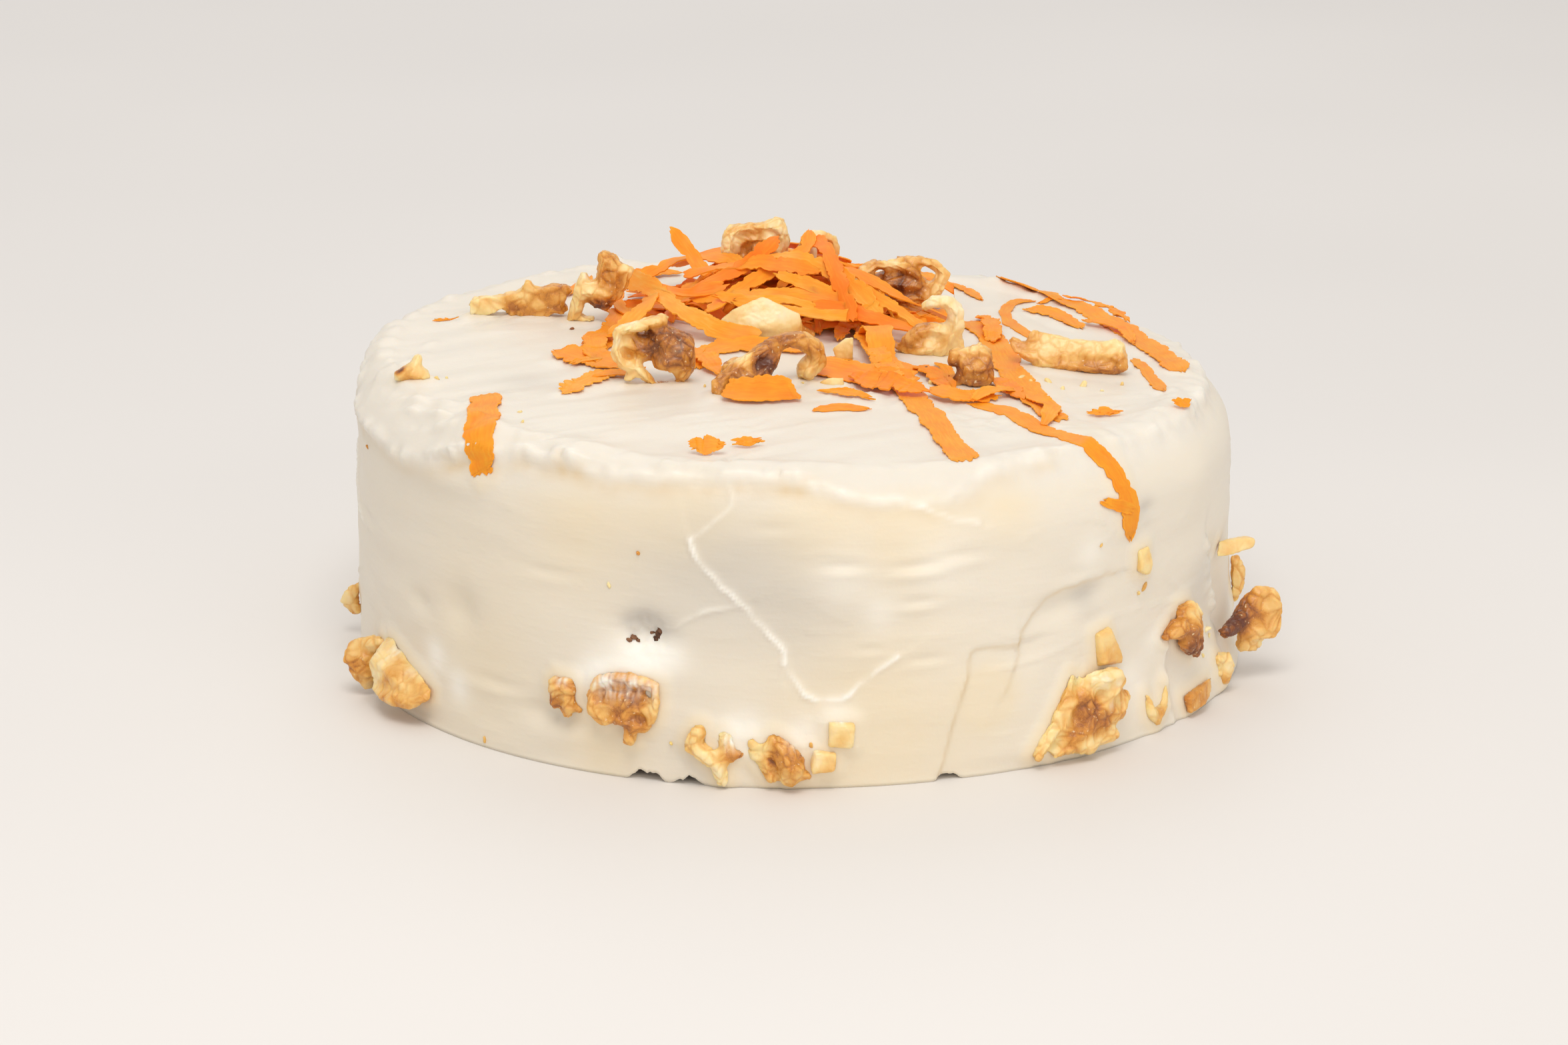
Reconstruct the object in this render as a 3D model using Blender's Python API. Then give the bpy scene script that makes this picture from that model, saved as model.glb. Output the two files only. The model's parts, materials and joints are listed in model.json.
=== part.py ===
"""A whole round carrot cake: a dark sponge under a hand-spread cream cheese coat, with a heap of
carrot shreds, loose shreds and broken walnut kernels on top, and more kernels pressed in round the foot.

Sizes are real ones in metres, written as millimetres times MM. +Z is up and the front is towards -Y.
An angle round the cake starts at the front and grows towards +X.
"""

import math
import random
from typing import NamedTuple

import bmesh
import bpy
from mathutils import Matrix, Vector, noise
from mathutils.bvhtree import BVHTree

MM = 0.001

# The cake as it stands
WALL_RADIUS = 101.5 * MM
TOP_HEIGHT = 69.0 * MM
TOP_SLOPE = 0.035
DOME = 1.6 * MM
RIM_INSET_LEFT = 11.0 * MM
RIM_INSET_RIGHT = 16.0 * MM
RIM_DROP = 14.0 * MM
FOOT_FLARE = 2.8 * MM
FOOT_HEIGHT = 11.0 * MM
RIM_RIDGE = 1.1 * MM

# The coat's thickness, and the sponge inside it
COAT_WALL = 5.5 * MM
COAT_TOP = 6.0 * MM
GAP = 0.3 * MM
SPONGE_RADIUS = WALL_RADIUS - COAT_WALL - GAP
SPONGE_HEIGHT = TOP_HEIGHT - COAT_TOP - GAP - TOP_SLOPE * WALL_RADIUS
SPONGE_ROUND = 5.0 * MM

# Mesh fineness
COAT_SIDES = 90
SPONGE_SIDES = 56
WALL_ROWS = 6
RIM_ROWS = 4
TOP_RINGS = 6
LOBE_CELL = 0.55 * MM
KERNEL_SMOOTHING = 0.5

# The uneven spread: broad waves of the spatula
WAVE_SPACING = 38.0 * MM
WAVE_DEPTH = 1.0 * MM

# The heap of shreds
HEAP_CENTRE = (0.0 * MM, 41.0 * MM)
HEAP_CORE = (33.0 * MM, 20.0 * MM)
HEAP_CORE_HEIGHT = 9.5 * MM
HEAP_SPREAD = (44.0 * MM, 28.0 * MM)
HEAP_SHREDS = 30
HEAP_SIDES = 2800
SHRED_THICKNESS = 1.1 * MM
SHRED_STEP = 4.0 * MM
SHRED_CLEARANCE = 1.0 * MM

SEED = 20


class Mark(NamedTuple):
    """A dent or a swell left in the coat by the spatula: angle, height, half length, half height, depth."""

    angle: float
    height: float
    half_length: float
    half_height: float
    depth: float


MARKS = (
    Mark(-18.7, 32.8, 5.5, 4.0, -3.2),
    Mark(-31.0, 11.6, 7.5, 2.6, -1.6),
    Mark(-46.0, 30.0, 5.0, 5.0, -1.8),
    Mark(34.0, 35.0, 6.0, 3.0, -1.5),
    Mark(72.0, 22.0, 6.0, 11.0, -3.0),
    Mark(28.0, 16.0, 16.0, 15.0, 1.2),
    Mark(3.0, 47.0, 34.0, 9.0, 0.9),
    Mark(-50.0, 60.0, 16.0, 4.0, 1.4),
    Mark(62.0, 55.0, 10.0, 7.0, 1.2),
    Mark(128.0, 30.0, 14.0, 6.0, -1.6),
    Mark(165.0, 42.0, 26.0, 8.0, 1.2),
    Mark(205.0, 24.0, 9.0, 6.0, -1.8),
    Mark(248.0, 38.0, 20.0, 9.0, 1.2),
    Mark(276.0, 50.0, 10.0, 5.0, -1.3),
)


class Notch(NamedTuple):
    """A place at the foot where the coat stops short and the sponge shows: angle, half width, height."""

    angle: float
    half_width: float
    height: float


NOTCHES = (
    Notch(-18.2, 3.2, 1.8),
    Notch(-12.9, 2.8, 1.4),
    Notch(-67.0, 6.0, 3.4),
    Notch(19.0, 2.5, 1.2),
    Notch(118.0, 3.6, 1.8),
    Notch(196.0, 5.0, 2.6),
    Notch(258.0, 3.2, 1.6),
)


class Shred(NamedTuple):
    """A loose carrot shred: its width and the points its middle passes, each nearest to the coat."""

    name: str
    width: float
    route: tuple
    step: float = SHRED_STEP


LOOSE_SHREDS = (
    Shred("rim_left", 7.0, ((-68, -43, 71), (-68, -58, 71), (-67, -68, 69), (-66, -76, 61)), 2.6 * MM),
    Shred("leaf_left", 7.0, ((-56, -11, 71), (-48, -13, 71), (-39, -19, 71))),
    Shred("frayed_left", 5.5, ((-51, -42, 71), (-45, -33, 71), (-40, -27, 71))),
    Shred("wide_left", 7.5, ((-40, 32, 71), (-41, 20, 71), (-44, 6, 71), (-45, -6, 71))),
    Shred("behind_round_kernel", 5.0, ((-20, -17, 71), (-19, -5, 71), (-9, 4, 71), (4, 3, 71))),
    Shred("under_twisted_kernel", 6.0, ((-13, -44, 71), (-6, -40, 71), (2, -36, 71))),
    Shred("thin_middle", 3.0, ((4, -37, 70), (10, -34, 70), (18, -36, 70))),
    Shred("patch_front", 8.0, ((3, -17, 70), (12, -22, 70), (21, -24, 70), (29, -22, 70))),
    Shred("patch_middle", 5.0, ((20, 8, 70), (20, -4, 70), (23, -12, 70), (29, -14, 70))),
    Shred(
        "long_front",
        6.0,
        ((17, 24, 70), (20, 9, 70), (21, -6, 70), (25, -26, 70), (31, -50, 70), (38, -78, 70)),
    ),
    Shred("under_amber", 4.0, ((31, -33, 70), (38, -37, 70), (46, -35, 69))),
    Shred("long_right", 7.0, ((43, 32, 69), (46, 18, 69), (48, 5, 69))),
    Shred("long_right_front", 7.0, ((51, -10, 69), (54, -20, 69), (58, -34, 69))),
    Shred(
        "over_rim_right",
        5.5,
        ((44, -32, 69), (52, -43, 69), (61, -51, 69), (67, -63, 67), (70, -70, 60), (72, -71, 49)),
    ),
    Shred("long_back_right", 6.0, ((50, 77, 68), (60, 70, 68), (72, 50, 68), (81, 27, 67), (90, -2, 66))),
    Shred("loop_right", 3.0, ((58, 60, 68), (53, 56, 68), (52, 46, 68), (56, 34, 68), (61, 22, 68))),
    Shred("short_right", 4.5, ((56, 49, 68), (63, 45, 68), (67, 35, 68))),
    Shred("thin_right", 3.0, ((80, 8, 67), (82, -7, 67), (84, -20, 67))),
)


# Shreds of the heap that stand out of it or run down its front: width, then the points of the middle
HEAP_ROUTES = (
    (3.6, ((-29.5, 44, 89), (-26, 43, 84.8), (-22, 40, 79.6), (-18, 36, 76.4), (-12, 33, 75.6))),
    (8.0, ((-40, 37, 74), (-33, 27, 76.5), (-26, 17, 74.5), (-20, 6, 71.6))),
    (6.5, ((-37, 48, 74), (-27, 49, 79), (-17, 42, 80), (-10, 32, 78))),
    (7.0, ((-30, 34, 76), (-20, 31, 80), (-6, 29, 80), (8, 26, 77))),
    (6.5, ((-22, 22, 76), (-8, 22, 77), (6, 23, 76.6), (20, 19, 72.4))),
    (7.0, ((-10, 36, 81), (3, 33, 81), (14, 26, 78), (22, 15, 72.6))),
    (6.0, ((0, 29, 79), (12, 31, 79.5), (26, 22, 75), (38, 20, 71.4))),
    (5.5, ((8, 20, 74.6), (16, 17, 74.5), (26, 15, 72.6), (36, 13, 71))),
    (6.0, ((-34, 30, 74.6), (-30, 20, 76), (-32, 10, 74), (-30, 1, 71.8))),
    (5.0, ((12, 60, 74), (24, 56, 75), (36, 50, 72.4), (43, 44, 71))),
)


class Flake(NamedTuple):
    """A scrap fused to the coat: place, length, width, turn in degrees."""

    place: tuple
    length: float
    width: float
    turn: float


FLAKES = (
    Flake((-19, -84, 70), 6.0, 4.5, 20),
    Flake((-11, -77, 70), 4.6, 3.4, 50),
    Flake((69, -42, 67), 5.2, 3.2, 5),
    Flake((88, -37, 64), 4.4, 3.2, 70),
    Flake((-40, 74, 71), 5.5, 3.6, 130),
    Flake((10, 88, 69), 5.0, 3.4, 80),
    Flake((-82, 22, 71), 4.4, 3.0, 15),
)


class Kernel(NamedTuple):
    """A broken walnut kernel, drawn in millimetres in its own frame.

    Its first axis runs to the right, its second up and its third out towards the front, or out of the
    wall. A strand is a row of balls (right, up, out, radius) that melt together, a chip is the corners of
    one flat-sided piece, and a break is a point and an outward normal of a flat face broken across it.
    place is x and y on the top in millimetres, or the angle and the height on the wall.
    """

    name: str
    place: tuple
    strands: tuple = ()
    chip: tuple = ()
    breaks: tuple = ()
    turn: float = 0.0
    sides: int = 120


TOP_KERNELS = (
    Kernel(
        "long_left",
        (-65, 26),
        (
            ((-9.6, 3.4, 0, 2.9), (-6.8, 4.2, 0, 2.6), (-3.6, 5.0, 0, 2.0), (-1.0, 5.6, 0, 2.1),
             (2.2, 5.4, 0, 2.8)),
            ((2.2, 5.4, 0, 2.6), (2.2, 9.0, 0, 1.5)),
            ((-1.6, 5.0, -0.6, 1.8), (-1.6, 1.6, -0.6, 1.6)),
            ((2.0, 4.6, 0, 2.2), (0.9, 1.2, 0.4, 1.3)),
            ((2.6, 4.6, 0, 2.2), (4.8, 2.2, 0.3, 2.4), (6.4, 1.8, 0.2, 1.6)),
            ((2.6, 6.0, 0, 2.2), (6.2, 6.6, 0.3, 2.3), (9.4, 6.8, -0.6, 2.7), (11.2, 7.4, -0.8, 2.0)),
            ((6.2, 5.0, 0.2, 2.2), (8.6, 4.0, -0.6, 2.4), (10.6, 2.8, -0.8, 1.7)),
        ),
        breaks=(((0, 5, 1.7), (0.0, 0.1, 1.0)),),
        sides=210,
    ),
    Kernel(
        "upright_left",
        (-48.5, 24),
        (
            ((-3.8, 1.2, 0, 1.9), (-2.6, 4.8, 0, 2.1), (-1.6, 8.6, 0, 2.2), (-0.8, 12.4, 0, 1.4)),
            ((-1.6, 8.6, 0.4, 2.2), (1.2, 9.0, 0.8, 2.4), (2.0, 5.6, 0.8, 1.5)),
            ((1.2, 9.0, 0.4, 2.2), (4.2, 8.0, 0.8, 2.2), (4.2, 4.8, 0.5, 1.4)),
            ((-3.0, 1.2, 0, 1.6), (0.6, 1.4, 0, 1.5)),
            ((3.6, 17.2, -0.5, 1.6), (5.6, 15.6, -1, 2.4), (7.2, 12.8, -1, 2.6), (6.4, 8.8, -0.5, 2.2),
             (4.8, 5.6, 0, 1.6)),
            ((7.2, 15.0, -0.4, 1.4), (10.0, 13.6, 0.3, 1.4), (8.8, 10.4, 0.6, 1.3), (7.2, 7.2, 0.5, 1.2)),
            ((3.6, 17.2, 0.0, 1.4), (3.2, 13.6, 0.4, 1.4), (3.4, 10.4, 0.6, 1.6)),
        ),
        sides=210,
    ),
    Kernel(
        "round_front",
        (-31, -31),
        (
            ((-8.4, 13.6, 0.6, 1.4), (-4.8, 14.6, 1.0, 1.7), (-0.8, 15.4, 0.8, 1.7), (1.8, 16.2, 0.2, 1.7)),
            ((-8.8, 12.4, 0.6, 1.4), (-9.0, 8.8, 0.8, 1.6), (-7.4, 6.0, 0.8, 1.6), (-4.0, 5.2, 1.0, 1.5)),
            ((-4.0, 5.2, 1.0, 1.5), (-2.4, 3.4, 1.0, 1.5), (-0.6, 1.2, 1.0, 1.2), (2.8, 0.7, 1.0, 1.0)),
            ((-6.6, 2.2, 0.5, 1.2), (-4.0, 4.6, 0.8, 1.4)),
            ((-5.2, 10.6, -2.2, 3.0), (-2.4, 8.8, -2.4, 3.2), (0.6, 12.2, -2.0, 2.8)),
            ((2.2, 11.6, -0.5, 3.4), (6.0, 10.0, -0.8, 3.4), (6.4, 5.2, -0.5, 3.0), (5.6, 2.4, -0.3, 1.9)),
            ((2.2, 11.6, -0.5, 3.0), (2.2, 6.8, 0.0, 3.4), (6.0, 8.0, 0.0, 3.2)),
        ),
        sides=240,
    ),
    Kernel(
        "twisted_front",
        (-8.2, -30),
        (
            ((-9.4, 3.2, 9, 1.2), (-3.6, 6.7, 5, 1.5), (2.4, 9.7, 1, 1.7), (4.8, 10.6, -1, 1.8),
             (9.4, 10.6, -3, 2.0)),
            ((9.4, 10.6, -3, 2.0), (13.0, 8.4, -4, 2.1), (13.8, 5.2, -5, 2.1), (11.2, 3.2, -4.5, 2.6)),
            ((-8.8, 1.4, 9.3, 1.5), (-3.6, 3.2, 6, 2.1), (1.6, 4.8, 3, 2.0), (4.4, 8.4, 0, 1.6)),
            ((-6.6, 5.0, 2, 1.6), (-4.0, 6.2, 2.4, 1.8)),
        ),
        sides=220,
    ),
    Kernel(
        "pale_middle",
        (-7.5, 11),
        chip=(
            (-10, 6, 2), (-6.5, 9, 2.5), (0.4, 11.8, 1), (5, 8.6, 2.5), (9.2, 7.6, 1.5), (10, 4.5, 2),
             (9.6, 2.2, 2),
            (-4.8, 0, 3), (-8.6, 2.4, 3.5), (2, 5, 5), (-5, 5, 4.6), (-7, 7, -4.5), (0, 10, -5), (8, 6, -5),
            (8, 0, -5), (-6, 0, -5), (7, 0, 2.5),
        ),
        strands=(((9.4, 3.0, -0.6, 1.7), (12.0, 1.6, -1.0, 1.3)),),
        sides=110,
    ),
    Kernel(
        "back_left",
        (-10.5, 47),
        (
            ((-4.4, 2.6, 0.5, 2.2), (-4.8, 6.6, 0.4, 2.9), (-4.4, 9.6, 0.2, 2.3), (-1.5, 11.2, 0, 1.4),
             (1, 10.6, -0.5, 1.4)),
            ((1, 10.6, -0.5, 1.4), (3.6, 10.8, -1, 1.6), (6.8, 11.0, -1.5, 2.5), (8.2, 7.6, -1.5, 2.0),
             (7.4, 3.0, -1, 1.9)),
            ((-2.0, 3.0, -2.2, 2.2), (0.5, 5.4, -2.4, 3.0), (3.6, 5.8, -2.4, 3.0), (6.2, 5.4, -2.0, 2.4)),
            ((-3.0, 1.2, -0.6, 1.8), (2.0, 1.4, -1.0, 1.9), (6.6, 1.4, -1.0, 1.8)),
            ((-1.5, 7.6, -2.0, 2.4), (2.0, 8.2, -2.2, 2.6), (5.4, 8.0, -2.0, 2.4)),
        ),
        sides=180,
    ),
    Kernel(
        "back_middle",
        (3.5, 45),
        (
            ((-2.6, 1.0, 0.5, 1.2), (-1.8, 4.8, 0.5, 1.5), (-0.2, 8.8, 0, 1.2), (3.2, 8.8, -0.6, 1.4),
             (6.2, 7.4, -1, 1.4)),
            ((1.2, 1.0, 0.2, 1.6), (1.0, 5.4, 0.2, 1.6), (0.4, 8.8, 0, 1.1)),
            ((6.2, 7.4, -1, 1.4), (7.0, 4.8, -1, 1.2), (6.0, 1.2, -1, 1.1)),
        ),
        sides=110,
    ),
    Kernel(
        "back_right",
        (24, 36),
        (
            ((-7.0, 1.6, 0.5, 1.8), (-7.6, 4.6, 0.5, 1.9), (-7.0, 8.0, 0, 2.2), (-4.4, 9.8, -0.5, 1.6),
             (-2.8, 9.6, 0.5, 1.3)),
            ((-2.8, 9.6, 0.5, 1.3), (0.5, 10.0, 0.6, 1.4), (3.5, 9.0, 0.6, 1.4), (6.0, 7.2, 0.6, 1.3)),
            ((1.0, 10.6, -1.5, 1.3), (6.0, 10.4, -1.8, 1.5), (10.0, 9.2, -1.8, 1.6),
             (12.4, 7.0, -1.5, 1.6)),
            ((12.0, 7.0, -1.2, 1.6), (10.8, 5.0, -1, 2.2), (9.5, 2.6, -0.5, 2.4), (7.0, 1.6, 0, 2.0)),
            ((-4.5, 4.0, -2, 2.8), (-1.0, 5.4, -2.4, 3.2), (3.0, 5.0, -2.2, 3.2), (6.0, 5.0, -1.6, 2.6)),
            ((-5.0, 1.8, -0.5, 1.8), (0.5, 1.2, -0.3, 1.8), (5.0, 1.4, -0.4, 1.8)),
            ((-12.6, 6.4, -0.5, 1.7), (-10.4, 4.4, 0, 2.0), (-8.4, 2.6, 0.3, 1.6)),
        ),
        sides=240,
    ),
    Kernel(
        "horn_right",
        (33.5, 1),
        (
            ((-3.2, 12.6, 0, 1.3), (-1.2, 14.0, 0, 1.6), (2.0, 13.8, 0, 1.9), (4.0, 11.6, 0, 2.2),
             (4.0, 8.0, 0, 2.6)),
            ((4.0, 8.0, 0, 2.6), (2.0, 5.0, 0, 2.8), (0.4, 1.8, 0, 2.5)),
            ((-7.0, 4.8, 0.5, 1.9), (-4.6, 7.0, 0.3, 1.9), (-1.6, 7.8, 0, 1.7), (1.2, 7.0, 0, 2.0)),
            ((-6.4, 1.8, 0.8, 1.6), (-4.2, 2.6, 0.8, 2.2), (-1.0, 3.4, 0.6, 2.4)),
            ((4.4, 5.4, 0.3, 1.4), (5.4, 3.0, 0.6, 1.2), (4.8, 1.0, 0.8, 1.0)),
            ((-11.6, 4.6, -1.2, 0.9), (-9.0, 2.4, -0.2, 1.1), (-6.4, 1.8, 0.6, 1.3)),
        ),
        sides=200,
    ),
    Kernel(
        "amber_right",
        (40, -24),
        (
            ((-4.4, 6.6, 0, 1.3), (-4.2, 9.0, 0, 1.3), (-1.0, 8.8, 0, 1.6), (2.0, 10.0, -0.5, 1.5),
             (4.0, 8.6, -0.3, 1.6)),
            ((-0.6, 5.8, 0, 3.0), (3.2, 6.0, 0, 2.7), (3.6, 3.0, 0.2, 2.2), (0.2, 2.8, 0.4, 2.4)),
            ((-1.6, 4.4, 0.4, 1.8), (-3.2, 2.6, 0.4, 1.5), (-3.4, 0.9, 0.6, 1.0)),
        ),
        sides=160,
    ),
    Kernel(
        "long_right",
        (64, -5),
        (
            ((-14.0, 7.4, -0.5, 1.2), (-12.0, 5.8, 0, 1.9), (-10.0, 4.4, 0.3, 1.9), (-7.6, 4.6, 0.3, 2.0)),
            ((-8.2, 1.4, 1.0, 1.3), (-6.0, 2.4, 1.0, 1.6), (-6.0, 5.0, 0.6, 2.3)),
            ((-8.6, 8.0, -0.5, 2.3), (-6.0, 7.2, 0, 2.7), (-3.0, 6.6, -0.5, 2.6), (1.0, 6.2, -0.5, 2.4),
             (5.0, 6.4, -0.5, 2.3)),
            ((5.0, 6.4, -0.5, 2.3), (8.6, 6.2, -0.6, 2.2), (11.4, 4.6, -0.4, 1.9), (12.2, 2.4, 0, 1.4)),
            ((-3.6, 2.6, 0.6, 2.0), (2.0, 2.6, 0.6, 2.0), (7.0, 2.4, 0.6, 1.9), (10.8, 2.0, 0.4, 1.5)),
            ((9.2, 6.8, -0.8, 1.4), (9.6, 8.4, -0.8, 1.1), (11.4, 7.0, -0.6, 1.3)),
        ),
        breaks=(((0, 6.0, 1.5), (0.0, 0.55, 0.83)),),
        turn=-12,
        sides=230,
    ),
    Kernel(
        "chip_far_left",
        (-85.5, -31),
        (((-3.0, 2.0, 0, 1.8), (0.0, 3.0, 0, 2.4), (2.6, 2.0, 0, 1.8)), ((0.0, 3.0, 0, 2.0),
         (1.2, 6.0, -0.4, 1.4))),
        sides=70,
    ),
    Kernel(
        "chip_front",
        (8, -29.5),
        chip=(
            (-4, 0, 1), (-3.6, 2, 1), (0, 3.8, 0.4), (3.4, 3.6, 0), (4, 1.4, 0.4), (1, 0, 2),
            (-2, 0.4, -2), (3, 0, -2),
        ),
        sides=50,
    ),
    Kernel(
        "chip_middle",
        (11.6, -7),
        chip=(
            (-3.2, 4.4, 0), (-2, 1, 1.6), (0.4, 0, 1.6), (2.6, 1, 0.6), (2.6, 7.4, 0), (0.6, 6.8, -1.4),
            (0, 0, -2.4),
        ),
        sides=50,
    ),
)

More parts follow.
